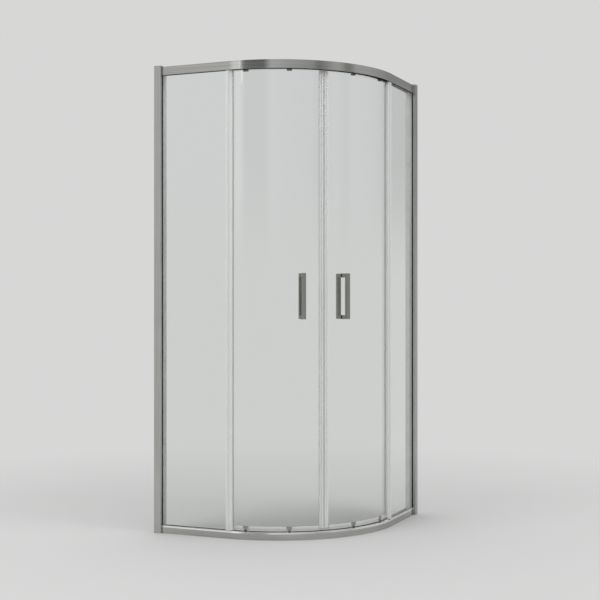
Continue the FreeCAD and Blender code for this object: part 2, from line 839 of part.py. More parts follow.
def door_bottom_seal():
    """Drip seal on the leaf's lower edge, cut round the two lower brackets."""
    fin = door_inner + drip_fin_inset
    section = [
        (door_inner - seal_wall, -seal_wall),
        (fin, -seal_wall),
        (fin, lip_gap - door_foot_gap),
        (fin + drip_fin_thickness, lip_gap - door_foot_gap),
        (fin + drip_fin_thickness, -seal_wall),
        (door_outer + seal_wall, -seal_wall),
        (door_outer + seal_wall, bottom_seal_grip),
        (door_outer, bottom_seal_grip),
        (door_outer, 0),
        (door_inner, 0),
        (door_inner, bottom_seal_grip),
        (door_inner - seal_wall, bottom_seal_grip),
    ]
    runs = []
    for number, (start, end) in enumerate(
        (
            (trail_edge_bearing + edge_margin, trail_roller_bearing - bracket_margin),
            (trail_roller_bearing + bracket_margin, lead_roller_bearing - bracket_margin),
            (lead_roller_bearing + bracket_margin, lead_edge_bearing - edge_margin),
        ),
        start=1,
    ):
        body = new_body(f"bottom_seal_run_{number}")
        turn(body, draw(body, "XZ_Plane", [section]), end - start)
        on_arc(body, bearing=start, z=door_glass_low)
        runs.append(body)
    keep_pair(group(runs, "door_bottom_seal_left"), "door_bottom_seal_left", "door_bottom_seal_right")


# ---- Doors: handles ----------------------------------------------------------------------------------


def side_edges(shape, seat):
    """Names of the edges along the sides of a handle's bar and legs, leaving out those on its seats."""
    names = []
    for index, edge in enumerate(shape.Edges, start=1):
        first, last = (vertex.Point for vertex in edge.Vertexes)
        runs_along_side = math.isclose(first.y, last.y, abs_tol=SAME_PLACE)
        on_seat = math.isclose(edge.CenterOfMass.x, seat, abs_tol=SAME_PLACE)
        if runs_along_side and not on_seat:
            names.append(f"Edge{index}")
    return names


def handles():
    """Square-bar pulls back to back through the glass, with washers and threaded studs."""
    outer_seat = door_outer + bracket_gap + washer_thickness
    inner_seat = door_inner - bracket_gap - washer_thickness
    for name, seat, sign in (("outer_handle", outer_seat, 1), ("inner_handle", inner_seat, -1)):
        body = new_body(f"{name}_left")
        tip = (door_outer if sign > 0 else door_inner) + handle_projection * sign
        grip = tip - handle_depth * sign
        outline = [
            (seat, 0),
            (tip, 0),
            (tip, handle_length),
            (seat, handle_length),
            (seat, handle_length - handle_leg),
            (grip, handle_length - handle_leg),
            (grip, handle_leg),
            (seat, handle_leg),
        ]
        bar = pad(body, draw(body, "XZ_Plane", [outline]), handle_width, middle=True)
        doc.recompute()
        rounding = body.newObject("PartDesign::Fillet", body.Name + "_edges")
        rounding.Base = (bar, side_edges(bar.Shape, seat.number))
        rounding.setExpression("Radius", handle_edge_radius.text)
        bores = [(0, handle_leg / 2, stud_radius), (0, handle_length - handle_leg / 2, stud_radius)]
        drawing = draw(body, "YZ_Plane", circles=bores, offset=seat)
        pocket(body, drawing, stud_depth, along=sign > 0)
        on_arc(body, bearing=handle_bearing, z=handle_centre_height - handle_length / 2)
        keep_pair(body, f"{name}_left", f"{name}_right")

    washers = []
    studs = []
    for number, level in enumerate(HANDLE_STUD_HEIGHTS, start=1):
        outer = new_body(f"outer_washer_{number}")
        inner = new_body(f"inner_washer_{number}")
        middle = (door_outer + door_inner) / 2
        for body, seat, sign in ((outer, outer_seat, 1), (inner, inner_seat, -1)):
            section = [
                (seat, stud_radius + fit_gap / 2),
                (seat, washer_radius),
                (seat - washer_thickness * sign, washer_radius),
                (seat - washer_thickness * sign, glass_hole_radius - fit_gap / 2),
                (middle + fit_gap / 2 * sign, glass_hole_radius - fit_gap / 2),
                (middle + fit_gap / 2 * sign, stud_radius + fit_gap / 2),
            ]
            turn(body, draw(body, "XZ_Plane", [section]), 360, axis="H_Axis")
            on_arc(body, bearing=handle_bearing, z=level)
            washers.append(body)
        stud = new_body(f"handle_stud_{number}")
        stud_end = inner_seat - stud_depth + fit_gap
        drawing = draw(stud, "YZ_Plane", circles=[(0, 0, stud_radius)], offset=stud_end)
        pad(stud, drawing, outer_seat - inner_seat + stud_depth * 2 - fit_gap * 2)
        on_arc(stud, bearing=handle_bearing, z=level)
        studs.append(stud)
    keep_pair(group(washers, "handle_washers_left"), "handle_washers_left", "handle_washers_right")
    keep_pair(group(studs, "handle_studs_left"), "handle_studs_left", "handle_studs_right")


# ---- Doors: brackets and wheels ----------------------------------------------------------------------


def saddle(body, edge, axle, grip, upward):
    """Sheet saddle over the leaf's edge, with a narrow neck on its outer leg that carries the wheel's axle.
    Heights are measured from the leaf's edge; upward is 1 at the top edge and -1 at the lower one."""
    bridge = fit_gap * upward
    bridge_far = bridge + bracket_bridge * upward
    legs = [
        block(outer_leg_in, outer_leg_out, -(grip * upward), -(edge * upward)),
        block(inner_leg_in, inner_leg_out, -(grip * upward), -(edge * upward)),
    ]
    neck = [
        (outer_leg_out, -(edge * upward)),
        (outer_leg_out, axle),
        (outer_leg_in, axle),
        (outer_leg_in, bridge_far),
        (inner_leg_in, bridge_far),
        (inner_leg_in, -(edge * upward)),
        (inner_leg_out, -(edge * upward)),
        (inner_leg_out, bridge),
        (outer_leg_in, bridge),
        (outer_leg_in, -(edge * upward)),
    ]
    pad(body, draw(body, "XZ_Plane", [neck]), neck_width, middle=True)
    pad(body, draw(body, "XZ_Plane", legs), bracket_width, middle=True)
    disc = draw(body, "YZ_Plane", circles=[(0, axle, neck_width / 2)], offset=outer_leg_in)
    pad(body, disc, bracket_sheet)
    hole = draw(body, "YZ_Plane", circles=[(0, axle, axle_radius + slip_gap)], offset=outer_leg_out)
    pocket(body, hole, bracket_sheet)


def stub_axle(name, end, head_radius, bearing, z):
    """Headed pin, flush in the bracket's neck, with its head in the wheel's recess."""
    body = new_body(name)
    section = [
        (end, 0),
        (outer_leg_out, 0),
        (outer_leg_out, axle_radius),
        (end + axle_head, axle_radius),
        (end + axle_head, head_radius),
        (end, head_radius),
    ]
    turn(body, draw(body, "XZ_Plane", [section]), 360, axis="H_Axis")
    on_arc(body, bearing=bearing, z=z)
    return body


def wheel(name, radius, width, head_radius, bearing, z, grooved):
    """Nylon wheel on its stub axle; the upper ones have two treads with a groove between."""
    body = new_body(name)
    start = wheel_start
    end = start - width
    bore = axle_radius + running_gap
    recess = end + axle_head + fit_gap * 2
    middle = (start + end) / 2
    section = [(start, bore), (start, radius)]
    if grooved:
        section += [
            (middle + tread_groove / 2, radius),
            (middle + tread_groove / 2, radius - tread_groove / 2),
            (middle - tread_groove / 2, radius - tread_groove / 2),
            (middle - tread_groove / 2, radius),
        ]
    section += [
        (end, radius),
        (end, head_radius + fit_gap * 2),
        (recess, head_radius + fit_gap * 2),
        (recess, bore),
    ]
    turn(body, draw(body, "XZ_Plane", [section]), 360, axis="H_Axis")
    on_arc(body, bearing=bearing, z=z)
    return body


UPPER_WHEEL = (upper_wheel_radius, upper_wheel_width)
LOWER_WHEEL = (lower_wheel_radius, lower_wheel_width)


def roller_sets():
    """Upper and lower bracket, axle and wheel at each of the leaf's two roller bearings."""
    axles = []
    screws = []
    for spot, bearing in (("trail", trail_roller_bearing), ("lead", lead_roller_bearing)):
        for level, edge_z, axle_z, wheel_sizes, head_radius, upward in (
            ("upper", door_glass_top, upper_axle_z, UPPER_WHEEL, upper_head_radius, 1),
            ("lower", door_glass_low, lower_axle_z, LOWER_WHEEL, lower_head_radius, -1),
        ):
            radius, width = wheel_sizes
            bracket = new_body(f"{level}_bracket_left_{spot}")
            edge = door_top_overlap + fit_gap * 2 if upward > 0 else as_rule(0)
            saddle(bracket, edge, axle_z - edge_z, bracket_grip, upward)
            set_screws = []
            screw_level = -(bracket_grip / 2 + edge / 2) * upward
            for place_number, across in enumerate((-set_screw_spread, set_screw_spread), start=1):
                set_screws.append((across, screw_level, set_screw_radius + slip_gap))
                screw = new_body(f"set_screw_{level}_{spot}_{place_number}")
                circle = (across, 0, set_screw_radius)
                drawing = draw(screw, "YZ_Plane", circles=[circle], offset=inner_leg_in - set_screw_proud)
                pad(screw, drawing, bracket_sheet + set_screw_proud)
                on_arc(screw, bearing=bearing, z=edge_z + screw_level)
                screws.append(screw)
            holes = draw(bracket, "YZ_Plane", circles=set_screws, offset=inner_leg_out)
            pocket(bracket, holes, bracket_sheet)
            on_arc(bracket, bearing=bearing, z=edge_z)
            keep_pair(bracket, f"{level}_bracket_left_{spot}", f"{level}_bracket_right_{spot}")
            end = wheel_start - width + fit_gap
            axle = stub_axle(f"{level}_axle_{spot}", end, head_radius, bearing, axle_z)
            axles.append(axle)
            tyre = wheel(
                f"{level}_wheel_left_{spot}", radius, width, head_radius, bearing, axle_z, upward > 0
            )
            keep_pair(tyre, f"{level}_wheel_left_{spot}", f"{level}_wheel_right_{spot}")
    keep_pair(group(axles, "wheel_axles_left"), "wheel_axles_left", "wheel_axles_right")
    keep_pair(group(screws, "bracket_screws_left"), "bracket_screws_left", "bracket_screws_right")


# ---- The assembly ------------------------------------------------------------------------------------


def faults():
    """Names of document objects that failed and of nodes without a sound shape."""
    failed = [item.Name for item in doc.Objects if {"Invalid", "Error"} & set(item.State)]
    unsound = [name for name, item in nodes.items() if item.Shape.isNull() or not item.Shape.isValid()]
    return failed + unsound


wall_profile()
side_post()
profile_cap()
lock_screws()
top_rail()
bottom_rail()
threshold_strip()
corner_brackets()
door_stops()
fixed_glass()
fixed_edge_seal()
pane_gaskets()
door_glass()
magnetic_seal()
trailing_seal()
door_bottom_seal()
handles()
roller_sets()
doc.recompute()

broken = faults()
if broken:
    raise RuntimeError("not built: " + ", ".join(broken))
os.makedirs("parts", exist_ok=True)
for name, item in nodes.items():
    item.Shape.exportStep(f"parts/{name}.step")
print(len(nodes), "nodes")
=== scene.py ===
import math

import bmesh
import bpy
from bpy.props import FloatProperty, FloatVectorProperty, IntProperty, PointerProperty
from bpy.types import Operator, Panel, PropertyGroup
from mathutils import Matrix, Vector


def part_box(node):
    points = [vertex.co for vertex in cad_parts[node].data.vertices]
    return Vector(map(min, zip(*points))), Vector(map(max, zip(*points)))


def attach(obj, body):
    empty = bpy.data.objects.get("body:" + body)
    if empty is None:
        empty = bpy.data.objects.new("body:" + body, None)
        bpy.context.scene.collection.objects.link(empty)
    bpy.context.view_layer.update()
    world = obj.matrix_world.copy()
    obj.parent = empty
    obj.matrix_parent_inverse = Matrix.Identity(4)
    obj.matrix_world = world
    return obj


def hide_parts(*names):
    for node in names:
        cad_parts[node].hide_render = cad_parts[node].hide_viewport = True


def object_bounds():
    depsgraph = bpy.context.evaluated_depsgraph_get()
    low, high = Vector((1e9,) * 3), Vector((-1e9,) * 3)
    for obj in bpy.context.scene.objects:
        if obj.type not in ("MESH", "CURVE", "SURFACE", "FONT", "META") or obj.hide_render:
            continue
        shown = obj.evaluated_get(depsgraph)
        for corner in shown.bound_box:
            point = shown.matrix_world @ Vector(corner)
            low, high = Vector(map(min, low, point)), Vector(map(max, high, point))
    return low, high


bl_info = {
    "name": "Quadrant Shower Enclosure",
    "version": (1, 0, 0),
    "blender": (4, 5, 0),
    "location": "3D View > Sidebar > Shower",
    "description": "Bent rails, wall posts, curved doors, seals, handles and rollers of a quadrant shower",
    "category": "Object",
}

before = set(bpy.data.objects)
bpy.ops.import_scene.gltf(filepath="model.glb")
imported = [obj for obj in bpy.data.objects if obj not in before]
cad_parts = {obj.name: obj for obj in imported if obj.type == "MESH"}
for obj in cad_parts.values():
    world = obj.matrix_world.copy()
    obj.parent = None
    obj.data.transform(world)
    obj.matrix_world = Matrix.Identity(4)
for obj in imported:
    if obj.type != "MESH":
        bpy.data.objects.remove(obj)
CAD_LOW, CAD_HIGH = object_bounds()

# ---- Places that come from the frame --------------------------------------------------------------

MM = 0.001
UP = Vector((0, 0, 1))
TWIN = Matrix(((0, -1, 0, 0), (-1, 0, 0, 0), (0, 0, 1, 0), (0, 0, 0, 1)))


def low(node):
    """The lowest corner of a packed piece."""
    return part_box(node)[0]


def high(node):
    """The highest corner of a packed piece."""
    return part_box(node)[1]


ARC_CENTRE = Vector((high("fixed_glass_left").x, low("fixed_glass_right").y, 0))
RAIL_RADIUS = high("top_rail").x - ARC_CENTRE.x
RAIL_RUN = ARC_CENTRE.x - low("top_rail").x
GLASS_THICKNESS = high("fixed_glass_left").y - low("fixed_glass_left").y
WALL_X = low("wall_profile_left").x
POST_FRONT = low("side_post_left").y
POST_DEPTH = high("side_post_left").y - POST_FRONT
POST_PROUD = low("top_rail").y - POST_FRONT
POST_TOP = high("side_post_left").z
RAIL_DEPTH = POST_DEPTH - POST_PROUD
TOP_RAIL_LOW = low("top_rail").z
BOTTOM_RAIL_TOP = high("bottom_rail").z
DOOR_LOW = low("door_glass_left").z
DOOR_HIGH = high("door_glass_left").z
DOOR_OUTER = ARC_CENTRE.y - low("door_glass_left").y
DOOR_INNER = DOOR_OUTER - GLASS_THICKNESS
DOOR_MIDDLE = (DOOR_OUTER + DOOR_INNER) / 2
HANDLE_LOW = low("outer_handle_left").z
HANDLE_HIGH = high("outer_handle_left").z
MEETING_BEARING = 45.0
TRAIL_BEARING = 0.3
LEAD_BEARING = 43.7
ROLLER_BEARINGS = (("trail", 7.7), ("lead", 28.4))
FIT_GAP = 0.3 * MM
SLIP_GAP = 0.1 * MM

# Turns in degrees beyond which an edge is shaded sharp, and beyond which a sheet's edge is rounded.
LEAF_LIMIT = 20
WHEEL_LIMIT = 35
TURNED_LIMIT = 40
SHEET_LIMIT = 50


def outward(bearing):
    """Unit vector from the arc's centre at a bearing in degrees, 0 at the left run and 90 at the right."""
    angle = math.radians(bearing)
    return Vector((math.sin(angle), -math.cos(angle), 0))


def bearing_frame(bearing, z=0.0):
    """Matrix whose +X points outwards from the arc's centre at a bearing, with its origin on the axis."""
    out = outward(bearing)
    along = UP.cross(out)
    turn = Matrix((out, along, UP)).transposed().to_4x4()
    return Matrix.Translation(ARC_CENTRE + UP * z) @ turn


def bearing_of(node):
    """Bearing of the middle of a packed piece."""
    middle = (low(node) + high(node)) / 2 - ARC_CENTRE
    return math.degrees(math.atan2(middle.x, -middle.y))


HANDLE_BEARING = bearing_of("outer_handle_left")


# ---- Sizes and colours a user would change --------------------------------------------------------


def length(name, description, millimetres):
    """A length property with its default given in millimetres."""
    return FloatProperty(
        name=name, description=description, default=millimetres * MM, min=0, unit="LENGTH", precision=5
    )


def colour(name, description, default):
    """A linear colour property."""
    return FloatVectorProperty(
        name=name, description=description, default=default, min=0, max=1, size=3, subtype="COLOR"
    )


def share(name, description, default):
    """A property that runs from 0 to 1."""
    return FloatProperty(name=name, description=description, default=default, min=0, max=1, subtype="FACTOR")


class RailSizes(PropertyGroup):
    """Extrusions"""

    wall: length("Wall", "Wall of the extrusions", 1.6)
    channel_width: length("Pane channel", "Clear width of the channel for the fixed panes", 10.6)
    ledge_rise: length("Ledge rise", "Underside of the roller ledge above the rail's lower edge", 4)
    ledge_thickness: length("Ledge", "Thickness of the roller ledge", 2)
    ledge_start: length("Slot end", "Inset at which the bracket slot ends and the ledge starts", 27.8)
    groove_depth: length("Groove", "Depth of the guide wheels' groove in the bottom rail", 7)
    groove_end: length("Groove end", "Inset at which the guide groove ends", 34.4)
    edge_radius: length("Edge radius", "Radius of the extrusions' long edges", 0.5)
    # The sill band's brightness is a painted highlight along the sill's front edge.
    painted_highlight_band: length("Sill band", "Height of the bright band along the sill's front edge", 6)
    sill_lean: length("Sill lean", "How far that band leans back", 0.9)
    strip_bearing: FloatProperty(name="Strip start", description="Bearing of the strip's ends", default=2)
    arc_steps: IntProperty(name="Arc steps", description="Steps round the quarter arc", default=96, min=8)


class GlassSizes(PropertyGroup):
    """Safety glass"""

    arris: length("Arris", "Width of the ground bevel on each edge", 0.8)
    hole_radius: length("Hole radius", "Radius of the holes for the handle studs", 6)
    leaf_steps: IntProperty(name="Leaf steps", description="Steps round a curved leaf", default=64, min=8)
    tint: colour("Tint", "Faint green of clear safety glass", (0.885, 0.91, 0.893))
    edge_tint: colour("Edge tint", "Green of a ground glass edge", (0.52, 0.6, 0.565))
    wave: share("Wave", "How strongly the tempering waves bend a reflection", 0.06)


class SealSizes(PropertyGroup):
    """Seals and gaskets"""

    wall: length("Wall", "Wall of the extruded seals", 1.4)
    edge_radius: length("Edge radius", "Radius of the seals' edges", 0.25)
    fixed_grip: length("Fixed grip", "Legs of the fixed panes' seals on the glass", 12)
    lip_reach: length("Lip reach", "Lip of the fixed panes' seals beyond the glass", 15)
    lip_bend: length("Lip bend", "Where that lip starts to lean", 11.2)
    magnet_reach: length("Magnet clip", "Magnetic seal, measured back from its face", 20)
    magnet_depth: length("Magnet box depth", "Depth of the box that holds the magnet", 9.5)
    magnet_width: length("Magnet box width", "Width of the box that holds the magnet", 13)
    meeting_gap: length("Meeting gap", "Gap between the two magnetic seals", 0.6)
    meeting_chamfer: length("Meeting chamfer", "Chamfer along the edges of the meeting faces", 0.6)
    trail_grip: length("Trailing grip", "Legs of the trailing seals on the glass", 9)
    trail_rise: length("Trailing lip rise", "Outward rise of the trailing lip", 9.5)
    drip_grip: length("Drip grip", "Legs of the drip seals on the glass", 10)
    drip_inset: length("Fin inset", "Drip fin's distance from the leaf's inner face", 2)
    gasket_lip: length("Gasket lip", "How far the gaskets stand out of their slots", 0.8)


class HandleSizes(PropertyGroup):
    """Square-bar pulls"""

    depth: length("Depth", "Bar, measured outwards from the glass", 16)
    width: length("Width", "Bar, measured along the glass", 16)
    leg: length("Leg", "Height of each leg", 16)
    projection: length("Projection", "Handle's reach from the glass", 40)
    edge_radius: length("Edge radius", "Radius of the bar's edges", 1)
    washer_radius: length("Washer", "Radius of the nylon washers", 9)
    washer_thickness: length("Washer thickness", "Nylon between handle and glass", 1)
    stud_radius: length("Stud", "Radius of the studs through the glass", 3)
    stud_depth: length("Stud depth", "Stud's length inside each leg", 10)


class RollerSizes(PropertyGroup):
    """Rollers"""

    sheet: length("Sheet", "Sheet of the brackets", 2)
    bracket_width: length("Bracket width", "Width of a bracket's legs", 22)
    grip: length("Grip", "Height of the legs on the glass", 8)
    neck_width: length("Neck", "Width of the neck that carries the axle", 12)
    upper_radius: length("Upper wheel", "Radius of the upper wheels", 10)
    upper_width: length("Upper width", "Width of the upper wheels", 12)
    lower_radius: length("Lower wheel", "Radius of the guide wheels", 7.5)
    lower_width: length("Lower width", "Width of the guide wheels", 5)
    axle_radius: length("Axle", "Radius of the stub axles", 2.5)
    screw_radius: length("Clamp screw", "Radius of the clamp screws", 1.5)


class MetalFinish(PropertyGroup):
    """Metal"""

    rail: colour("Rails", "Brushed aluminium of the rails", (0.47, 0.468, 0.452))
    # Inside is painted shade: near black on the faces inside and under the top rail, where shade falls.
    inside: colour("Inside", "Dull oxide inside the top rail", (0.018, 0.018, 0.0175))
    post: colour("Posts", "Satin aluminium of the wall posts", (0.5, 0.498, 0.483))
    # Flank is painted light: the posts' flank behind the glass is painted pale to show it brightly lit.
    flank: colour("Flank", "Pale cover on the posts' flank behind the glass", (0.93, 0.93, 0.92))
    # Strip: the threshold strip's own bright aluminium, also used to paint the highlight on the sill band.
    strip: colour("Strip", "Bright aluminium of the threshold strip", (0.86, 0.86, 0.85))
    handle: colour("Handles", "Dark satin steel of the handles", (0.3, 0.305, 0.278))
    bracket: colour("Brackets", "Pressed steel of the roller brackets", (0.36, 0.36, 0.35))
    fastener: colour("Fasteners", "Turned steel of screws, studs and axles", (0.5, 0.5, 0.49))
    roughness: share("Roughness", "Mean roughness of the brushed faces", 0.17)
    grain: share("Grain", "How much the roughness varies along the grain", 0.08)
    streaks: share("Streaks", "How much the grain varies the colour", 0.17)
    anisotropy: share("Anisotropy", "How far the grain draws out a highlight", 0.85)


class PlasticFinish(PropertyGroup):
    """Plastic and rubber"""

    seal: colour("Seals", "Milky clear plastic of the edge seals", (0.88, 0.89, 0.88))
    seal_cover: share("Seal cover", "How much of the light one skin of a seal holds back", 0.5)
    # Meeting is painted shade: the faces where the doors meet are painted dark for the shade in the gap between
    # them.
    meeting: colour("Meeting faces", "Dark faces where the doors meet", (0.05, 0.052, 0.05))
    magnet: colour("Magnets", "Pale strip inside the magnetic seals", (0.8, 0.81, 0.8))
    gasket: colour("Gaskets", "Dark rubber in the posts and the top rail", (0.03, 0.031, 0.03))
    # Sill gaskets are painted light: the rail gaskets' lips in the bottom rail are a pale copy of the gasket
    # rubber.
    painted_light_gasket: colour("Sill gaskets", "Pale rubber in the bottom rail", (0.6, 0.61, 0.6))
    moulding: colour("Mouldings", "Grey nylon of caps and corner blocks", (0.23, 0.235, 0.225))
    washer: colour("Washers", "Black nylon under the handles", (0.02, 0.02, 0.021))
    wheel: colour("Wheels", "White nylon of the rollers", (0.72, 0.72, 0.7))
    stop: colour("Stops", "Black rubber of the door stops", (0.02, 0.02, 0.02))


class StageSizes(PropertyGroup):
    """Camera and light"""

    lens: FloatProperty(name="Lens", description="Focal length on a 36 mm sensor", default=73.18, min=1)
    camera: FloatVectorProperty(
        name="Camera", description="Place of the camera", default=(2.1919, -5.0015, 0.994), subtype="XYZ"
    )
    tilt: FloatProperty(name="Tilt", description="Tilt above the horizon, in degrees", default=0.041)
    heading: FloatProperty(name="Heading", description="Turn to the left of +Y, in degrees", default=23.26)
    floor_radius: length("Floor size", "Radius of the floor", 60000)
    floor_near: length("Fade start", "Radius where the floor starts to run into the backdrop", 1100)
    floor_far: length("Fade end", "Radius from which the floor is the backdrop's grey", 3200)
    backdrop: colour("Backdrop", "Pale grey behind the object", (0.68, 0.68, 0.676))
    light: colour("Light", "Even light from all sides", (0.88, 0.88, 0.88))
    floor: colour("Floor", "Pale grey under the object", (0.61, 0.61, 0.607))


# ---- Modelling helpers ----------------------------------------------------------------------------


def block(low_across, high_across, low_up, high_up):
    """Corners of an upright rectangle, as (across, up)."""
    return [(low_across, low_up), (high_across, low_up), (high_across, high_up), (low_across, high_up)]


def outline(bm, points, radius=0.0, segments=3, rounded=None):
    """A face from its corners. All of them are rounded to a radius, or those that a test picks."""
    face = bm.faces.new([bm.verts.new(point) for point in points])
    if radius > 0:
        corners = [vert for vert in face.verts if rounded is None or rounded(vert.co)]
        known = set(bm.faces) - {face}
        bmesh.ops.bevel(
            bm, geom=corners, offset=radius, segments=segments, profile=0.5, affect="VERTICES", material=-1
        )
        face = next(item for item in bm.faces if item not in known)
    return face


def stretch(bm, face, step):
    """Extrudes a face by a vector and returns the far face."""
    result = bmesh.ops.extrude_face_region(bm, geom=[face])
    moved = [item for item in result["geom"] if isinstance(item, bmesh.types.BMVert)]
    bmesh.ops.translate(bm, verts=moved, vec=step)
    return next(item for item in result["geom"] if isinstance(item, bmesh.types.BMFace))


def sweep(bm, face, degrees, steps):
    """Carries a face round the arc's upright axis and returns the far face."""
    result = bmesh.ops.spin(
        bm, geom=[face], cent=ARC_CENTRE, axis=UP, dvec=(0, 0, 0), angle=math.radians(degrees), steps=steps
    )
    return next(item for item in result["geom_last"] if isinstance(item, bmesh.types.BMFace))


def upright(bm, corners, start, end, radius=0.0):
    """An upright bar from its (x, y) corners."""
    face = outline(bm, [(x, y, start) for x, y in corners], radius)
    stretch(bm, face, (0, 0, end - start))


def by_the_wall(corners):
    """Places (distance from the wall, distance behind the post's front) corners at the left wall."""
    return [(WALL_X + across, POST_FRONT + depth) for across, depth in corners]


def lathe(bm, section, radius=0.0, steps=48):
    """Turns a section of (along, out) corners about the X axis."""
    known = set(bm.verts)
    face = outline(
        bm, [(along, 0, out) for along, out in section], radius, 3, lambda corner: corner.z > 0.01 * MM
    )
    verts, edges = face.verts[:], face.edges[:]
    bmesh.ops.delete(bm, geom=[face], context="FACES_ONLY")
    on_axis = [edge for edge in edges if all(vert.co.z < 0.01 * MM for vert in edge.verts)]
    if on_axis:
        bmesh.ops.delete(bm, geom=on_axis, context="EDGES")
        verts = [vert for vert in verts if vert.is_valid]
        edges = [edge for edge in edges if edge.is_valid]
    bmesh.ops.spin(
        bm, geom=verts + edges, cent=(0, 0, 0), axis=(1, 0, 0), dvec=(0, 0, 0), angle=math.tau, steps=steps,
        use_merge=True,
    )
    new = [vert for vert in bm.verts if vert not in known]
    bmesh.ops.remove_doubles(bm, verts=new, dist=0.001 * MM)
    return [vert for vert in bm.verts if vert not in known]


def join(bm, part, matrix=None):
    """Adds a finished part to a mesh, moved by a matrix."""
    if matrix is not None:
        bmesh.ops.transform(part, matrix=matrix, verts=part.verts)
    mesh = bpy.data.meshes.new("part")
    part.to_mesh(mesh)
    part.free()
    bm.from_mesh(mesh)
    bpy.data.meshes.remove(mesh)


def ease_edges(bm, width, segments=2, limit=30):
    """Bevels every edge that turns by more than the limit."""
    least = math.radians(limit)
    sharp = [edge for edge in bm.edges if len(edge.link_faces) == 2 and edge.calc_face_angle() > least]
    bmesh.ops.bevel(
        bm, geom=sharp, offset=width, segments=segments, profile=0.5, affect="EDGES", material=-1,
        clamp_overlap=True,
    )


def close(bm, limit=32):
    """Turns all faces outwards and shades them smooth between edges that turn by more than the limit."""
    bmesh.ops.recalc_face_normals(bm, faces=bm.faces)
    for face in bm.faces:
        face.smooth = True
    for edge in bm.edges:
        edge.smooth = edge.calc_face_angle(0) < math.radians(limit)


def turned_over(bm):
    """The right-hand twin of a left-hand mesh, in the diagonal plane."""
    twin = bm.copy()
    bmesh.ops.transform(twin, matrix=TWIN, verts=twin.verts)
    bmesh.ops.reverse_faces(twin, faces=twin.faces)
    return twin


def keep(bm, name, nodes, body, finishes):
    """Makes an object of a mesh, gives it its finishes and lets it stand for its packed pieces."""
    mesh = bpy.data.meshes.new(name)
    bm.to_mesh(mesh)
    bm.free()
    piece = bpy.data.objects.new(name, mesh)
    bpy.context.scene.collection.objects.link(piece)
    for name_of_finish in finishes:
        mesh.materials.append(finish(name_of_finish))
    shading = piece.modifiers.new("even_shading", "WEIGHTED_NORMAL")
    shading.keep_sharp = True
    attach(piece, body)
    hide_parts(*nodes)


def keep_both(bm, name, nodes, body, finishes):
    """Keeps a left-hand mesh and its right-hand twin. Nodes and body hold {side} in place of the side."""
    for side, mesh in (("right", turned_over(bm)), ("left", bm)):
        keep(
            mesh, f"{name}_{side}", [node.format(side=side) for node in nodes], body.format(side=side),
            finishes,
        )


def keep_together(bm, name, nodes, finishes):
    """Keeps a left-hand mesh and its right-hand twin as one piece of the frame."""
    join(bm, turned_over(bm))
    keep(bm, name, nodes, "frame", finishes)


def cut(bm, cutter):
    """Cuts one mesh out of another and returns what is left."""
    items = []
    for name, source in (("cut_body", bm), ("cut_tool", cutter)):
        mesh = bpy.data.meshes.new(name)
        source.to_mesh(mesh)
        source.free()
        items.append(bpy.data.objects.new(name, mesh))
        bpy.context.scene.collection.objects.link(items[-1])
    body, tool = items
    boolean = body.modifiers.new("cut", "BOOLEAN")
    boolean.object = tool
    boolean.solver = "EXACT"
    bpy.context.view_layer.update()
    done = bmesh.new()
    done.from_mesh(body.evaluated_get(bpy.context.evaluated_depsgraph_get()).to_mesh())
    for item in items:
        mesh = item.data
        bpy.data.objects.remove(item)
        bpy.data.meshes.remove(mesh)
    return done


def drill(bm, matrix, radius, depth):
    """Adds a drill along the local X axis of a matrix."""
    bmesh.ops.create_cone(
        bm, cap_ends=True, segments=32, radius1=radius, radius2=radius, depth=depth,
        matrix=matrix @ Matrix.Rotation(math.radians(90), 4, "Y"),
    )


# ---- Finishes -------------------------------------------------------------------------------------

# Scales of the noises on each axis, per metre.
ALONG_RAIL = (2, 2, 260)
ALONG_POST = (700, 700, 3)
ALL_ROUND = (500, 500, 500)
MOULD_GRAIN = (900, 900, 900)
METAL_CLOUDS = (7, 7, 7)
STEEL_CLOUDS = (60, 60, 60)
MOULD_CLOUDS = (25, 25, 25)
DRAW_LINES = (700, 700, 0.3)
OVEN_WAVES = (6, 6, 1.2)
GLASS_IOR = 1.5


def new_finish(name):
    """A material, its node tree and its shader."""
    material = bpy.data.materials.new(name)
    material.use_nodes = True
    tree = material.node_tree
    return material, tree, tree.nodes["Principled BSDF"]


def grain_noise(tree, scale, detail=4.0):
    """Noise on object coordinates, with a scale for each axis, per metre."""
    place = tree.nodes.new("ShaderNodeTexCoord")
    mapping = tree.nodes.new("ShaderNodeMapping")
    mapping.inputs["Scale"].default_value = scale
    noise = tree.nodes.new("ShaderNodeTexNoise")
    noise.inputs["Scale"].default_value = 1.0
    noise.inputs["Detail"].default_value = detail
    noise.inputs["Roughness"].default_value = 0.6
    tree.links.new(place.outputs["Object"], mapping.inputs["Vector"])
    tree.links.new(mapping.outputs["Vector"], noise.inputs["Vector"])
    return noise.outputs["Fac"]


def ranged(tree, source, least, most):
    """Maps the middle stretch of a noise to a range."""
    node = tree.nodes.new("ShaderNodeMapRange")
    node.inputs["From Min"].default_value = 0.3
    node.inputs["From Max"].default_value = 0.7
    node.inputs["To Min"].default_value = least
    node.inputs["To Max"].default_value = most
    tree.links.new(source, node.inputs["Value"])
    return node.outputs["Result"]


def colour_by(tree, shader, source, base, spread):
    """Lets a noise vary the base colour a little."""
    mix = tree.nodes.new("ShaderNodeMix")
    mix.data_type = "RGBA"
    darker = [part * (1 - spread) for part in base]
    lighter = [min(1, part * (1 + spread)) for part in base]
    for socket, shade in zip([item for item in mix.inputs if item.type == "RGBA"], (darker, lighter)):
        socket.default_value = (*shade, 1)
    tree.links.new(ranged(tree, source, 0, 1), mix.inputs[0])
    result = next(item for item in mix.outputs if item.type == "RGBA")
    tree.links.new(result, shader.inputs["Base Color"])


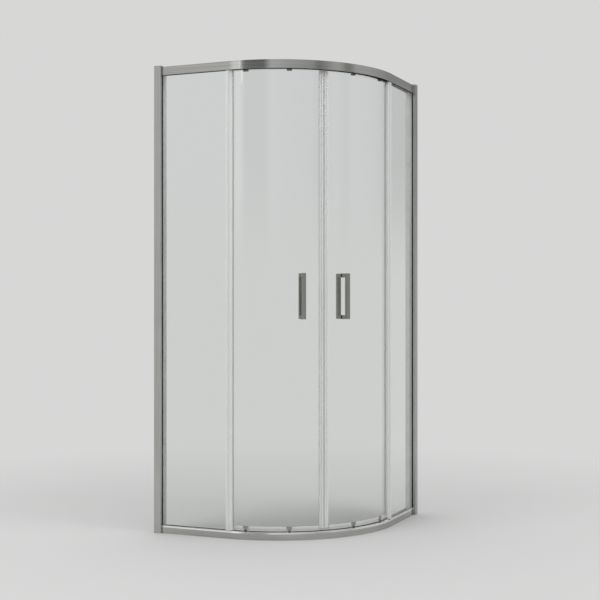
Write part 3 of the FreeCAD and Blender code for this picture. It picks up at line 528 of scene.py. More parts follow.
def roughness_by(tree, shader, source, middle, spread):
    """Lets a noise vary the roughness."""
    tree.links.new(ranged(tree, source, middle - spread / 2, middle + spread / 2), shader.inputs["Roughness"])


def relief_by(tree, shader, source, strength, distance):
    """Lets a noise raise the surface."""
    bump = tree.nodes.new("ShaderNodeBump")
    bump.inputs["Strength"].default_value = strength
    bump.inputs["Distance"].default_value = distance
    tree.links.new(source, bump.inputs["Height"])
    tree.links.new(bump.outputs["Normal"], shader.inputs["Normal"])


def multiplied(tree, first, second):
    """The product of two noises."""
    node = tree.nodes.new("ShaderNodeMath")
    node.operation = "MULTIPLY"
    tree.links.new(first, node.inputs[0])
    tree.links.new(second, node.inputs[1])
    return node.outputs["Value"]


def brushed_metal(name, base, grain, roughness=None, anisotropy=None):
    """Metal with a grain: streaks in the colour, the roughness and the relief, and soft clouding."""
    metal = bpy.context.scene.shower_metal
    material, tree, shader = new_finish(name)
    streaks = grain_noise(tree, grain, 8.0)
    clouds = grain_noise(tree, METAL_CLOUDS, 2.0)
    shader.inputs["Metallic"].default_value = 1.0
    shader.inputs["Anisotropic"].default_value = metal.anisotropy if anisotropy is None else anisotropy
    shader.inputs["Anisotropic Rotation"].default_value = 0.25 if grain == ALONG_RAIL else 0.0
    colour_by(tree, shader, multiplied(tree, streaks, ranged(tree, clouds, 0.9, 1.1)), base, metal.streaks)
    roughness_by(tree, shader, streaks, metal.roughness if roughness is None else roughness, metal.grain)
    relief_by(tree, shader, streaks, 0.1, 0.05 * MM)
    return material


def turned_metal(name, base, roughness=0.3):
    """Turned or pressed metal with a fine, even grain."""
    material, tree, shader = new_finish(name)
    grain = grain_noise(tree, ALL_ROUND)
    clouds = grain_noise(tree, STEEL_CLOUDS, 2.0)
    shader.inputs["Metallic"].default_value = 1.0
    colour_by(tree, shader, clouds, base, 0.1)
    roughness_by(tree, shader, grain, roughness, 0.14)
    relief_by(tree, shader, grain, 0.08, 0.04 * MM)
    return material


def moulded(name, base, roughness=0.5, relief=0.15):
    """Moulded nylon or rubber with a fine spark-eroded grain."""
    material, tree, shader = new_finish(name)
    grain = grain_noise(tree, MOULD_GRAIN, 3.0)
    clouds = grain_noise(tree, MOULD_CLOUDS, 2.0)
    colour_by(tree, shader, clouds, base, 0.08)
    roughness_by(tree, shader, grain, roughness, 0.16)
    relief_by(tree, shader, grain, relief, 0.08 * MM)
    return material


def clear_plastic(name, base, roughness):
    """Extruded see-through plastic with faint draw lines along its length."""
    material, tree, shader = new_finish(name)
    lines = grain_noise(tree, DRAW_LINES, 1.0)
    shader.inputs["Alpha"].default_value = bpy.context.scene.shower_plastic.seal_cover
    colour_by(tree, shader, lines, base, 0.04)
    roughness_by(tree, shader, lines, roughness, roughness / 2)
    return material


def safety_glass(name):
    """Clear tempered glass, whose faces wave a little over a hand's breadth, as the oven left them."""
    glass = bpy.context.scene.shower_glass
    material, tree, shader = new_finish(name)
    shader.inputs["Base Color"].default_value = (*glass.tint, 1)
    shader.inputs["Transmission Weight"].default_value = 1.0
    shader.inputs["Roughness"].default_value = 0.0
    shader.inputs["IOR"].default_value = GLASS_IOR
    relief_by(tree, shader, grain_noise(tree, OVEN_WAVES, 1.0), glass.wave, 2 * MM)
    return material


def ground_edge(name):
    """Ground and polished edge of the glass, which shows its green."""
    glass = bpy.context.scene.shower_glass
    material, tree, shader = new_finish(name)
    grind = grain_noise(tree, ALL_ROUND)
    colour_by(tree, shader, grind, glass.edge_tint, 0.15)
    roughness_by(tree, shader, grind, 0.25, 0.15)
    shader.inputs["Transmission Weight"].default_value = 0.25
    shader.inputs["IOR"].default_value = GLASS_IOR
    return material


def finish(kind):
    """The finish of that kind, made when it is first asked for."""
    name = f"shower_{kind}"
    if name in bpy.data.materials:
        return bpy.data.materials[name]
    metal = bpy.context.scene.shower_metal
    plastic = bpy.context.scene.shower_plastic
    makers = {
        "rail_metal": lambda: brushed_metal(name, metal.rail, ALONG_RAIL),
        "painted_shade_inside": lambda: moulded(name, metal.inside, 0.7),
        "post_metal": lambda: brushed_metal(name, metal.post, ALONG_POST, 0.32),
        "painted_light_flank": lambda: moulded(name, metal.flank, 0.45, 0.05),
        "strip_metal": lambda: brushed_metal(name, metal.strip, ALONG_RAIL, 0.2),
        "handle_metal": lambda: brushed_metal(name, metal.handle, ALONG_POST, 0.36, 0.5),
        "bracket_metal": lambda: turned_metal(name, metal.bracket),
        "fastener_steel": lambda: turned_metal(name, metal.fastener),
        "safety_glass": lambda: safety_glass(name),
        "ground_glass_edge": lambda: ground_edge(name),
        "clear_seal": lambda: clear_plastic(name, plastic.seal, 0.15),
        "painted_shade_meeting_face": lambda: moulded(name, plastic.meeting, 0.4),
        "pale_magnet": lambda: moulded(name, plastic.magnet, 0.4),
        "gasket_rubber": lambda: moulded(name, plastic.gasket, 0.6),
        "painted_light_gasket": lambda: moulded(name, plastic.painted_light_gasket, 0.4),
        "grey_nylon": lambda: moulded(name, plastic.moulding),
        "black_nylon": lambda: moulded(name, plastic.washer, 0.4),
        "wheel_nylon": lambda: moulded(name, plastic.wheel, 0.35, 0.05),
        "stop_rubber": lambda: moulded(name, plastic.stop, 0.7),
    }
    return makers[kind]()


# ---- Posts ----------------------------------------------------------------------------------------


# The plug's inset as a share of the cap's width. The corners of a screw cover, as shares of its rise and
# radius, and of a lock screw, in millimetres.
PLUG_INSET = 1 / 8
COVER_EDGE = 0.2 * MM
COVER_DOME = ((1, 0), (0.95, 0.5), (0.7, 0.84), (0.35, 1), (0, 1), (0, 0.72), (0.5, 0.7), (0.55, 0))
LOCK_SCREW = (
    (-8, 0), (-8, 1.4), (-7, 2), (0.02, 2), (0.02, 4), (1.2, 3.9), (1.9, 3), (2, 1.6), (1, 1.4), (1, 0)
)


class SHOWER_OT_wall_profiles(Operator):
    """Make the channels that are screwed to the walls, with the holes for their screws"""

    bl_idname = "shower.wall_profiles"
    bl_label = "Wall profiles"

    reach: length("Reach", "Channel's reach from the wall", 26)
    hole_radius: length("Hole radius", "Radius of the wall screws' holes", 2.5)
    first_hole: length("First hole", "Height of the lowest hole", 100)
    holes: IntProperty(name="Holes", description="Holes in each channel", default=4, min=2)

    def execute(self, context):
        wall = context.scene.shower_rails.wall
        near = low("wall_profile_left").y - POST_FRONT
        far = high("wall_profile_left").y - POST_FRONT
        top = high("wall_profile_left").z
        bm = bmesh.new()
        corners = [
            (0, near), (self.reach, near), (self.reach, near + wall), (wall, near + wall), (wall, far - wall),
            (self.reach, far - wall), (self.reach, far), (0, far),
        ]
        upright(bm, by_the_wall(corners), 0, top, context.scene.shower_rails.edge_radius)
        bmesh.ops.recalc_face_normals(bm, faces=bm.faces)
        drills = bmesh.new()
        last = CAD_HIGH.z - self.first_hole
        pitch = (last - self.first_hole) / (self.holes - 1)
        for number in range(self.holes):
            level = self.first_hole + pitch * number
            place = Matrix.Translation((WALL_X, POST_FRONT + (near + far) / 2, level))
            drill(drills, place, self.hole_radius, wall * 4)
        bm = cut(bm, drills)
        close(bm)
        keep_both(bm, "wall_channel", ["wall_profile_{side}"], "frame", ["post_metal"])
        return {"FINISHED"}


class SHOWER_OT_posts(Operator):
    """Make the wall posts with their top caps, lock screws and screw covers"""

    bl_idname = "shower.posts"
    bl_label = "Wall posts"

    cap_edge: length("Cap edge", "Radius of the cap's upper edges", 0.7)
    screw_x: length("Lock screw", "Lock screws' distance from the wall", 18)
    screw_low: length("Lowest lock screw", "Height of the lowest lock screw", 250)
    cover_radius: length("Cover", "Radius of the screw covers", 6)
    cover_rise: length("Cover rise", "How far the screw covers stand out", 4)

    def execute(self, context):
        self.post(context.scene.shower_rails)
        self.cap()
        self.screws()
        return {"FINISHED"}

    def post(self, sizes):
        """Cover channel with the slot for the fixed pane."""
        wall = sizes.wall
        left = low("side_post_left").x - WALL_X
        right = high("side_post_left").x - WALL_X
        slot_start = POST_PROUD + wall
        slot_end = slot_start + sizes.channel_width
        slot_floor = low("post_gaskets").x - WALL_X
        corners = [
            (left, 0), (right, 0), (right, slot_start), (slot_floor, slot_start), (slot_floor, slot_end),
            (right, slot_end), (right, POST_DEPTH), (left, POST_DEPTH), (left, POST_DEPTH - wall),
            (right - wall, POST_DEPTH - wall), (right - wall, slot_end + wall),
            (slot_floor - wall, slot_end + wall),
            (slot_floor - wall, slot_start - wall), (right - wall, slot_start - wall), (right - wall, wall),
            (left, wall),
        ]
        bm = bmesh.new()
        upright(bm, by_the_wall(corners), 0, POST_TOP, sizes.edge_radius)
        close(bm)
        # Painted light: the flank behind the glass gets the pale finish.
        for face in bm.faces:
            middle = face.calc_center_median()
            if middle.x - WALL_X > right - SLIP_GAP and middle.y - POST_FRONT > slot_end:
                face.material_index = 1
        keep_both(bm, "post", ["side_post_{side}"], "frame", ["post_metal", "painted_light_flank"])

    def cap(self):
        """Moulded cap with soft upper edges, and the plug that holds it in the post."""
        bottom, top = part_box("profile_cap_left")
        bm = bmesh.new()
        upright(bm, block(bottom.x, top.x, bottom.y, top.y), POST_TOP, top.z)
        bmesh.ops.recalc_face_normals(bm, faces=bm.faces)
        ease_edges(bm, self.cap_edge, 3)
        plug = bmesh.new()
        inset = (top.x - bottom.x) * PLUG_INSET
        front = bottom.y + (top.y - bottom.y) / 2
        upright(plug, block(bottom.x + inset, top.x - inset, front, top.y - inset), bottom.z, POST_TOP)
        join(bm, plug)
        close(bm)
        keep_both(bm, "post_cap", ["profile_cap_{side}"], "frame", ["grey_nylon"])

    def screws(self):
        """Lock screws in the post's inner flank, each under a domed push-on cover."""
        covers, screws = bmesh.new(), bmesh.new()
        dome = [(along * self.cover_rise, out * self.cover_radius) for along, out in COVER_DOME]
        shank = [(along * MM, out * MM) for along, out in LOCK_SCREW]
        inward = Matrix.Rotation(math.radians(90), 4, "Z")
        for level in (self.screw_low, CAD_HIGH.z / 2, CAD_HIGH.z - self.screw_low):
            place = Matrix.Translation((WALL_X + self.screw_x, POST_FRONT + POST_DEPTH, level)) @ inward
            cover, screw = bmesh.new(), bmesh.new()
            lathe(cover, dome, COVER_EDGE)
            lathe(screw, shank, steps=32)
            join(covers, cover, place)
            join(screws, screw, place)
        close(covers, TURNED_LIMIT)
        close(screws, TURNED_LIMIT)
        keep_together(covers, "screw_covers", ["lock_screw_caps"], ["grey_nylon"])
        keep_together(screws, "lock_screws", ["post_lock_screws"], ["fastener_steel"])


# ---- Rails ----------------------------------------------------------------------------------------


# The top rail's painted shade inside starts this many edge radii from its outer faces.
PAINTED_SHADE_RIM = 1.2
STRIP_EDGE = 0.3 * MM
STOP_EDGE = 1.2 * MM


def bent_bar(section, radius, steps):
    """Bends a section of (inset, up) corners round the quarter arc, with a straight run at each end."""
    bm = bmesh.new()
    start = ARC_CENTRE.x - RAIL_RUN
    corners = [(start, ARC_CENTRE.y - (RAIL_RADIUS - inset), up) for inset, up in section]
    face = outline(bm, corners, radius)
    face = stretch(bm, face, (RAIL_RUN, 0, 0))
    face = sweep(bm, face, 90, steps)
    stretch(bm, face, (0, RAIL_RUN, 0))
    close(bm)
    return bm


def inset_of(point):
    """How far a point lies behind the rails' front."""
    if point.x < ARC_CENTRE.x:
        return point.y - ARC_CENTRE.y + RAIL_RADIUS
    if point.y > ARC_CENTRE.y:
        return ARC_CENTRE.x + RAIL_RADIUS - point.x
    return RAIL_RADIUS - (point - ARC_CENTRE).xy.length


def paint_shade_and_highlight(bm, first_inset, last_inset, lowest, highest):
    """Gives faces in a range of insets and heights the second finish, which paints light and shade on them."""
    for face in bm.faces:
        middle = face.calc_center_median()
        if first_inset < inset_of(middle) < last_inset and lowest < middle.z < highest:
            face.material_index = 1


class SHOWER_OT_rails(Operator):
    """Bend the top rail and the bottom rail, and lay the strip in the bottom one"""

    bl_idname = "shower.rails"
    bl_label = "Bent rails"

    def execute(self, context):
        sizes = context.scene.shower_rails
        self.top_rail(sizes)
        self.bottom_rail(sizes)
        self.strip(sizes, context.scene.shower_seals.wall)
        return {"FINISHED"}

    def top_rail(self, sizes):
        """Pane channel, divider and roller chamber in one section."""
        bottom, top = TOP_RAIL_LOW, high("top_rail").z
        wall = sizes.wall
        channel_end = wall + sizes.channel_width
        ledge_low = bottom + sizes.ledge_rise
        ledge_top = ledge_low + sizes.ledge_thickness
        section = [
            (0, bottom), (wall, bottom), (wall, top - wall), (channel_end, top - wall), (channel_end, bottom),
            (channel_end + wall, bottom), (channel_end + wall, top - wall), (RAIL_DEPTH - wall, top - wall),
            (RAIL_DEPTH - wall, ledge_top), (sizes.ledge_start, ledge_top), (sizes.ledge_start, ledge_low),
            (RAIL_DEPTH, ledge_low), (RAIL_DEPTH, top), (0, top),
        ]
        bm = bent_bar(section, sizes.edge_radius, sizes.arc_steps)
        # Painted shade: the faces inside and under the top rail get the near-black second finish.
        rim = sizes.edge_radius * PAINTED_SHADE_RIM
        paint_shade_and_highlight(bm, rim, RAIL_DEPTH - rim, 0, top - rim)
        keep(bm, "top_rail_bent", ["top_rail"], "frame", ["rail_metal", "painted_shade_inside"])

    def bottom_rail(self, sizes):
        """Threshold with pane channel and guide groove, and a painted highlight on the band along its front
        edge.
        """
        top = BOTTOM_RAIL_TOP
        wall = sizes.wall
        channel_end = wall + sizes.channel_width
        groove_floor = top - sizes.groove_depth
        section = [
            (0, 0), (RAIL_DEPTH, 0), (RAIL_DEPTH, top), (sizes.groove_end, top),
            (sizes.groove_end, groove_floor),
            (channel_end + wall, groove_floor), (channel_end + wall, top), (channel_end, top),
            (channel_end, top / 2), (wall, top / 2), (wall, top), (sizes.sill_lean, top),
            (0, top - sizes.painted_highlight_band),
        ]
        bm = bent_bar(section, sizes.edge_radius / 2, sizes.arc_steps)
        # Painted highlight: the leaning band on the sill's front edge gets the bright strip metal.
        paint_shade_and_highlight(bm, -wall, wall, top - sizes.painted_highlight_band, top + wall)
        keep(bm, "bottom_rail_bent", ["bottom_rail"], "frame", ["rail_metal", "strip_metal"])

    def strip(self, sizes, skin):
        """Strip that closes the bottom channel between the fixed panes."""
        top = high("threshold_strip").z
        foot = low("threshold_strip").z
        first = sizes.wall
        last = sizes.wall + sizes.channel_width
        section = [
            (first, foot), (first + skin, foot), (first + skin, top - skin), (last - skin, top - skin),
            (last - skin, foot), (last, foot), (last, top), (first, top),
        ]
        bm = bmesh.new()
        place = bearing_frame(sizes.strip_bearing)
        face = outline(bm, [place @ Vector((RAIL_RADIUS - inset, 0, up)) for inset, up in section], STRIP_EDGE)
        sweep(bm, face, 90 - 2 * sizes.strip_bearing, sizes.arc_steps)
        close(bm)
        keep(bm, "threshold_cover", ["threshold_strip"], "frame", ["strip_metal"])


class SHOWER_OT_rail_fittings(Operator):
    """Finish the corner blocks and their screws, and make the rubber door stops"""

    bl_idname = "shower.rail_fittings"
    bl_label = "Rail fittings"

    stop_face: length("Stop face", "Front of the door stops, measured back from the arc", 180.6)
    stop_length: length("Stop length", "Length of the door stops", 14)

    def execute(self, context):
        for node, name in (("corner_brackets", "grey_nylon"), ("rail_screws", "fastener_steel")):
            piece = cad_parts[node]
            piece.data.materials.clear()
            piece.data.materials.append(finish(name))
        self.stops(context.scene.shower_rails, context.scene.shower_rollers)
        return {"FINISHED"}

    def stops(self, sizes, rollers):
        """Rubber blocks in the roller chamber."""
        near = POST_PROUD + sizes.wall * 2 + sizes.channel_width + FIT_GAP
        far = POST_DEPTH - sizes.wall - FIT_GAP
        floor = TOP_RAIL_LOW + sizes.ledge_rise + sizes.ledge_thickness
        end = ARC_CENTRE.x - self.stop_face
        bm = bmesh.new()
        corners = [(end - self.stop_length, near), (end, near), (end, far), (end - self.stop_length, far)]
        upright(
            bm, [(x, POST_FRONT + depth) for x, depth in corners], floor, floor + rollers.upper_radius * 2
        )
        bmesh.ops.recalc_face_normals(bm, faces=bm.faces)
        ease_edges(bm, STOP_EDGE, 3)
        close(bm)
        keep_together(bm, "stop_blocks", ["door_stops"], ["stop_rubber"])


# ---- Glass ----------------------------------------------------------------------------------------


# A face of the glass is a clear one if its normal is at least this square to the sheet, and ground if not.
SQUARE_ON = 0.95
GASKET_EDGE = 0.25 * MM


class SHOWER_OT_panes(Operator):
    """Make the flat fixed panes and the gaskets round them"""

    bl_idname = "shower.panes"
    bl_label = "Fixed panes"

    def execute(self, context):
        self.panes(context.scene.shower_glass)
        self.gaskets(context.scene.shower_rails, context.scene.shower_seals)
        return {"FINISHED"}

    def panes(self, sizes):
        """Flat glass with ground edges."""
        bottom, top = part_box("fixed_glass_left")
        bm = bmesh.new()
        face = outline(bm, [(x, bottom.y, z) for x, z in block(bottom.x, top.x, bottom.z, top.z)])
        stretch(bm, face, (0, GLASS_THICKNESS, 0))
        bmesh.ops.recalc_face_normals(bm, faces=bm.faces)
        ease_edges(bm, sizes.arris, 1)
        for face in bm.faces:
            face.material_index = 0 if abs(face.normal.y) > SQUARE_ON else 1
        keep_both(
            bm, "pane", ["fixed_glass_{side}"], "frame", ["safety_glass", "ground_glass_edge"]
        )

    def gaskets(self, rails, seals):
        """Rubber channel in the post's slot, and one in each rail."""
        bottom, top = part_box("fixed_glass_left")
        front, back = bottom.y - POST_FRONT - SLIP_GAP, top.y - POST_FRONT + SLIP_GAP
        slot_start = POST_PROUD + rails.wall
        slot_end = slot_start + rails.channel_width
        floor = low("post_gaskets").x - WALL_X
        edge = bottom.x - WALL_X - SLIP_GAP
        mouth = high("side_post_left").x - WALL_X + seals.gasket_lip
        corners = [
            (floor, slot_start), (mouth, slot_start), (mouth, front), (edge, front), (edge, back),
            (mouth, back), (mouth, slot_end), (floor, slot_end),
        ]
        bm = bmesh.new()
        upright(bm, by_the_wall(corners), low("post_gaskets").z, high("post_gaskets").z, GASKET_EDGE)
        close(bm)
        keep_together(bm, "post_slot_gaskets", ["post_gaskets"], ["gasket_rubber"])
        bm = bmesh.new()
        for root, seat, lip in (
            (low("rail_gaskets").z, bottom.z - SLIP_GAP, BOTTOM_RAIL_TOP + seals.gasket_lip),
            (high("rail_gaskets").z, top.z + SLIP_GAP, TOP_RAIL_LOW - seals.gasket_lip),
        ):
            section = [
                (slot_start, root), (slot_end, root), (slot_end, lip), (back, lip), (back, seat),
                (front, seat), (front, lip), (slot_start, lip),
            ]
            start = low("rail_gaskets").x
            end = ARC_CENTRE.x - seals.fixed_grip - FIT_GAP
            face = outline(bm, [(start, POST_FRONT + depth, up) for depth, up in section], GASKET_EDGE)
            stretch(bm, face, (end - start, 0, 0))
        close(bm)
        # Painted light: the lips in the bottom rail get the pale copy of the gasket rubber, those under the top
        # rail the dark one.
        for face in bm.faces:
            face.material_index = 1 if face.calc_center_median().z < DOOR_LOW else 0
        keep_together(
            bm, "rail_channel_gaskets", ["rail_gaskets"], ["gasket_rubber", "painted_light_gasket"]
        )


class SHOWER_OT_leaves(Operator):
    """Make the curved door leaves"""

    bl_idname = "shower.leaves"
    bl_label = "Curved doors"

    def execute(self, context):
        sizes = context.scene.shower_glass
        handles = context.scene.shower_handles
        place = bearing_frame(TRAIL_BEARING)
        bm = bmesh.new()
        section = block(DOOR_INNER, DOOR_OUTER, DOOR_LOW, DOOR_HIGH)
        face = outline(bm, [place @ Vector((out, 0, up)) for out, up in section])
        sweep(bm, face, LEAD_BEARING - TRAIL_BEARING, sizes.leaf_steps)
        bmesh.ops.recalc_face_normals(bm, faces=bm.faces)
        ease_edges(bm, sizes.arris, 1)
        for level in (HANDLE_LOW - handles.leg, HANDLE_LOW + handles.leg * 2,
                      HANDLE_HIGH - handles.leg * 2, HANDLE_HIGH + handles.leg):
            everything = bm.verts[:] + bm.edges[:] + bm.faces[:]
            bmesh.ops.bisect_plane(bm, geom=everything, plane_co=(0, 0, level), plane_no=UP)
        drills = bmesh.new()
        for level in stud_levels(handles):
            matrix = bearing_frame(HANDLE_BEARING, level) @ Matrix.Translation((DOOR_MIDDLE, 0, 0))
            drill(drills, matrix, sizes.hole_radius, GLASS_THICKNESS * 4)
        bm = cut(bm, drills)
        close(bm, LEAF_LIMIT)
        for face in bm.faces:
            out = face.calc_center_median() - ARC_CENTRE
            out.z = 0
            face.material_index = 0 if abs(face.normal.dot(out.normalized())) > SQUARE_ON else 1
        keep_both(
            bm, "leaf", ["door_glass_{side}"], "door_{side}",
            ["safety_glass", "ground_glass_edge"],
        )
        return {"FINISHED"}


# ---- Seals ----------------------------------------------------------------------------------------


LIP = 1 * MM
MAGNET_EDGE = 0.4 * MM
# Degrees that a drip seal ends before the leaf's edge, and before the middle of a bracket.
DRIP_EDGE = 1.3
DRIP_ROOM = 1.35


class SHOWER_OT_seals(Operator):
    """Make the magnetic seals, the overlap seals and the drip seals"""

    bl_idname = "shower.seals"
    bl_label = "Seals"

    def execute(self, context):
        sizes = context.scene.shower_seals
        self.fixed_edge(sizes)
        self.magnetic(sizes)
        self.trailing(sizes)
        self.drip(sizes)
        return {"FINISHED"}

    def fixed_edge(self, sizes):
        """Seal on the fixed pane's free edge, with a lip that leans towards the door."""
        wall = sizes.wall
        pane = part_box("fixed_glass_left")
        pane_front, pane_back = pane[0].y, pane[1].y
        grip = ARC_CENTRE.x - sizes.fixed_grip
        base = ARC_CENTRE.x + FIT_GAP
        bend, reach = base + sizes.lip_bend, base + sizes.lip_reach
        front, back = pane_front - SLIP_GAP, pane_back + SLIP_GAP
        corners = [
            (grip, pane_front - wall), (base + wall, pane_front - wall), (bend, pane_back - wall),
            (reach, pane_back + wall - LIP / 2), (reach - LIP, pane_back + wall + LIP / 2),
            (bend - LIP, pane_back), (base + wall, pane_back + wall), (grip, pane_back + wall),
            (grip, back), (base, back), (base, front), (grip, front),
        ]
        bottom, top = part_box("fixed_edge_seal_left")
        bm = bmesh.new()
        upright(bm, corners, bottom.z, top.z, sizes.edge_radius)
        close(bm)
        keep_both(bm, "pane_seal", ["fixed_edge_seal_{side}"], "frame", ["clear_seal"])

    def magnetic(self, sizes):
        """Clip on the leading edge with a box that holds the magnet."""
        wall = sizes.wall
        box_in, box_out = DOOR_MIDDLE - sizes.magnet_width / 2, DOOR_MIDDLE + sizes.magnet_width / 2
        face = -sizes.meeting_gap / 2
        back = face - sizes.magnet_depth
        tail = face - sizes.magnet_reach
        edge = -DOOR_MIDDLE * math.sin(math.radians(MEETING_BEARING - LEAD_BEARING)) + FIT_GAP
        outer_leg, inner_leg = DOOR_OUTER + FIT_GAP / 2, DOOR_INNER - FIT_GAP * 2
        slope = face - sizes.meeting_chamfer
        corners = [
            (box_in, slope), (box_in + sizes.meeting_chamfer, face), (box_out - sizes.meeting_chamfer, face),
            (box_out, slope), (box_out, back), (outer_leg + wall, back), (outer_leg + wall, tail),
            (outer_leg, tail), (outer_leg, edge), (inner_leg, edge), (inner_leg, tail),
            (inner_leg - wall, tail), (inner_leg - wall, back), (box_in, back),
        ]
        bottom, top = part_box("magnetic_seal_left")
        place = bearing_frame(MEETING_BEARING)
        bm, cavity, magnet = bmesh.new(), bmesh.new(), bmesh.new()
        upright(bm, corners, bottom.z, top.z, sizes.edge_radius)
        hollow = block(box_in + wall, box_out - wall, back + wall, face - wall)
        upright(cavity, hollow, bottom.z - wall, top.z + wall)
        for mesh in (bm, cavity):
            bmesh.ops.recalc_face_normals(mesh, faces=mesh.faces)
            bmesh.ops.transform(mesh, matrix=place, verts=mesh.verts)
        bm = cut(bm, cavity)
        close(bm)
        # Painted shade: the meeting faces and their chamfers get the dark finish.
        to_local = place.inverted()
        for item in bm.faces:
            item.material_index = 1 if (to_local @ item.calc_center_median()).y > slope else 0
        keep_both(
            bm, "meeting_seal", ["magnetic_seal_{side}"], "door_{side}",
            ["clear_seal", "painted_shade_meeting_face"],
        )
        inset = wall + SLIP_GAP
        core = block(box_in + inset, box_out - inset, back + inset, face - inset)
        upright(magnet, core, bottom.z, top.z, MAGNET_EDGE)
        bmesh.ops.transform(magnet, matrix=place, verts=magnet.verts)
        close(magnet)
        keep_both(magnet, "magnet", ["magnet_strip_{side}"], "door_{side}", ["pale_magnet"])

    def trailing(self, sizes):
        """Clip on the trailing edge with a lip that reaches outwards to the fixed pane's seal."""
        wall = sizes.wall
        inner_leg, outer_leg = DOOR_INNER - FIT_GAP, DOOR_OUTER + FIT_GAP / 2
        base = -FIT_GAP
        back = base - wall
        tip = outer_leg + sizes.trail_rise
        reach = back - sizes.trail_rise
        corners = [
            (inner_leg - wall, sizes.trail_grip), (inner_leg, sizes.trail_grip), (inner_leg, base),
            (outer_leg, base), (outer_leg, sizes.trail_grip), (outer_leg + wall, sizes.trail_grip),
            (outer_leg + wall, base), (tip, reach), (tip - LIP, reach - LIP), (DOOR_OUTER - wall, back),
            (inner_leg - wall, back),
        ]
        bottom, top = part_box("trailing_seal_left")
        bm = bmesh.new()
        upright(bm, corners, bottom.z, top.z, sizes.edge_radius)
        bmesh.ops.transform(bm, matrix=bearing_frame(TRAIL_BEARING), verts=bm.verts)
        close(bm)
        keep_both(bm, "tail_seal", ["trailing_seal_{side}"], "door_{side}", ["clear_seal"])

    def drip(self, sizes):
        """Seal on the lower edge with a drip fin, cut round the two lower brackets."""
        wall = sizes.wall
        fin = DOOR_INNER + sizes.drip_inset
        fin_foot = low("door_bottom_seal_left").z - DOOR_LOW
        inner, outer = DOOR_INNER - SLIP_GAP, DOOR_OUTER + SLIP_GAP
        section = [
            (DOOR_INNER - wall, -wall), (fin, -wall), (fin, fin_foot), (fin + LIP, fin_foot), (fin + LIP, -wall),
 (DOOR_OUTER + wall, -wall), (DOOR_OUTER + wall, sizes.drip_grip),
            (outer, sizes.drip_grip), (outer, -SLIP_GAP), (inner, -SLIP_GAP), (inner, sizes.drip_grip),
            (DOOR_INNER - wall, sizes.drip_grip),
        ]
        trail, lead = (bearing for _, bearing in ROLLER_BEARINGS)
        runs = (
            (TRAIL_BEARING + DRIP_EDGE, trail - DRIP_ROOM),
            (trail + DRIP_ROOM, lead - DRIP_ROOM),
            (lead + DRIP_ROOM, LEAD_BEARING - DRIP_EDGE),
        )
        bm = bmesh.new()
        for start, end in runs:
            place = bearing_frame(start, DOOR_LOW)
            face = outline(bm, [place @ Vector((out, 0, up)) for out, up in section], sizes.edge_radius)
            sweep(bm, face, end - start, max(6, round((end - start) * 1.5)))
        close(bm)
        keep_both(bm, "drip_seal", ["door_bottom_seal_{side}"], "door_{side}", ["clear_seal"])


# ---- Handles --------------------------------------------------------------------------------------


WASHER_EDGE = 0.25 * MM
STUD_BEVEL = 0.6 * MM


def stud_levels(sizes):
    """Heights of the two studs of a handle."""
    return HANDLE_LOW + sizes.leg / 2, HANDLE_HIGH - sizes.leg / 2


class SHOWER_OT_handles(Operator):
    """Make the square-bar pulls, outside and inside, with their washers and studs"""

    bl_idname = "shower.handles"
    bl_label = "Handles"

    def execute(self, context):
        sizes = context.scene.shower_handles
        gap = FIT_GAP / 2 + sizes.washer_thickness
        for name, wall, sign in (("outer", DOOR_OUTER, 1), ("inner", DOOR_INNER, -1)):
            self.bar(sizes, name, wall + gap * sign, wall + sizes.projection * sign, sign)
        self.washers_and_studs(sizes, DOOR_OUTER + gap, DOOR_INNER - gap)
        return {"FINISHED"}

    def bar(self, sizes, name, seat, tip, sign):
        """One pull: a square bar on two square legs."""
        bottom, top = HANDLE_LOW, HANDLE_HIGH
        grip = tip - sizes.depth * sign
        corners = [
            (seat, bottom), (tip, bottom), (tip, top), (seat, top), (seat, top - sizes.leg),
            (grip, top - sizes.leg), (grip, bottom + sizes.leg), (seat, bottom + sizes.leg),
        ]
        bm = bmesh.new()
        face = outline(bm, [(out, -sizes.width / 2, up) for out, up in corners])
        stretch(bm, face, (0, sizes.width, 0))
        bmesh.ops.recalc_face_normals(bm, faces=bm.faces)
        ease_edges(bm, sizes.edge_radius, 3)
        bmesh.ops.transform(bm, matrix=bearing_frame(HANDLE_BEARING), verts=bm.verts)
        close(bm)
        keep_both(
            bm, f"{name}_pull", [name + "_handle_{side}"], "door_{side}", ["handle_metal"]
        )

    def washers_and_studs(self, sizes, outer_seat, inner_seat):
        """Stepped nylon washers on both faces of the glass, and the studs through them."""
        washers, studs = bmesh.new(), bmesh.new()
        bore = sizes.stud_radius + FIT_GAP / 2
        spigot = bpy.context.scene.shower_glass.hole_radius - FIT_GAP / 2
        for level in stud_levels(sizes):
            place = bearing_frame(HANDLE_BEARING, level)
            for seat, sign in ((outer_seat, 1), (inner_seat, -1)):
                foot = seat - sizes.washer_thickness * sign
                middle = DOOR_MIDDLE + FIT_GAP / 2 * sign
                washer = bmesh.new()
                lathe(washer, [
                    (seat, bore), (seat, sizes.washer_radius), (foot, sizes.washer_radius), (foot, spigot),
                    (middle, spigot), (middle, bore),
                ], WASHER_EDGE)
                join(washers, washer, place)
            start = inner_seat - sizes.stud_depth + FIT_GAP
            end = outer_seat + sizes.stud_depth - FIT_GAP
            bevel = STUD_BEVEL
            stud = bmesh.new()
            lathe(stud, [
                (start, 0), (end, 0), (end, sizes.stud_radius - bevel), (end - bevel, sizes.stud_radius),
                (start + bevel, sizes.stud_radius), (start, sizes.stud_radius - bevel),
            ], steps=32)
            join(studs, stud, place)
        close(washers, TURNED_LIMIT)
        close(studs, TURNED_LIMIT)
        keep_both(
            washers, "pull_washers", ["handle_washers_{side}"], "door_{side}", ["black_nylon"]
        )
        keep_both(studs, "pull_studs", ["handle_studs_{side}"], "door_{side}", ["fastener_steel"])


# ---- Rollers --------------------------------------------------------------------------------------


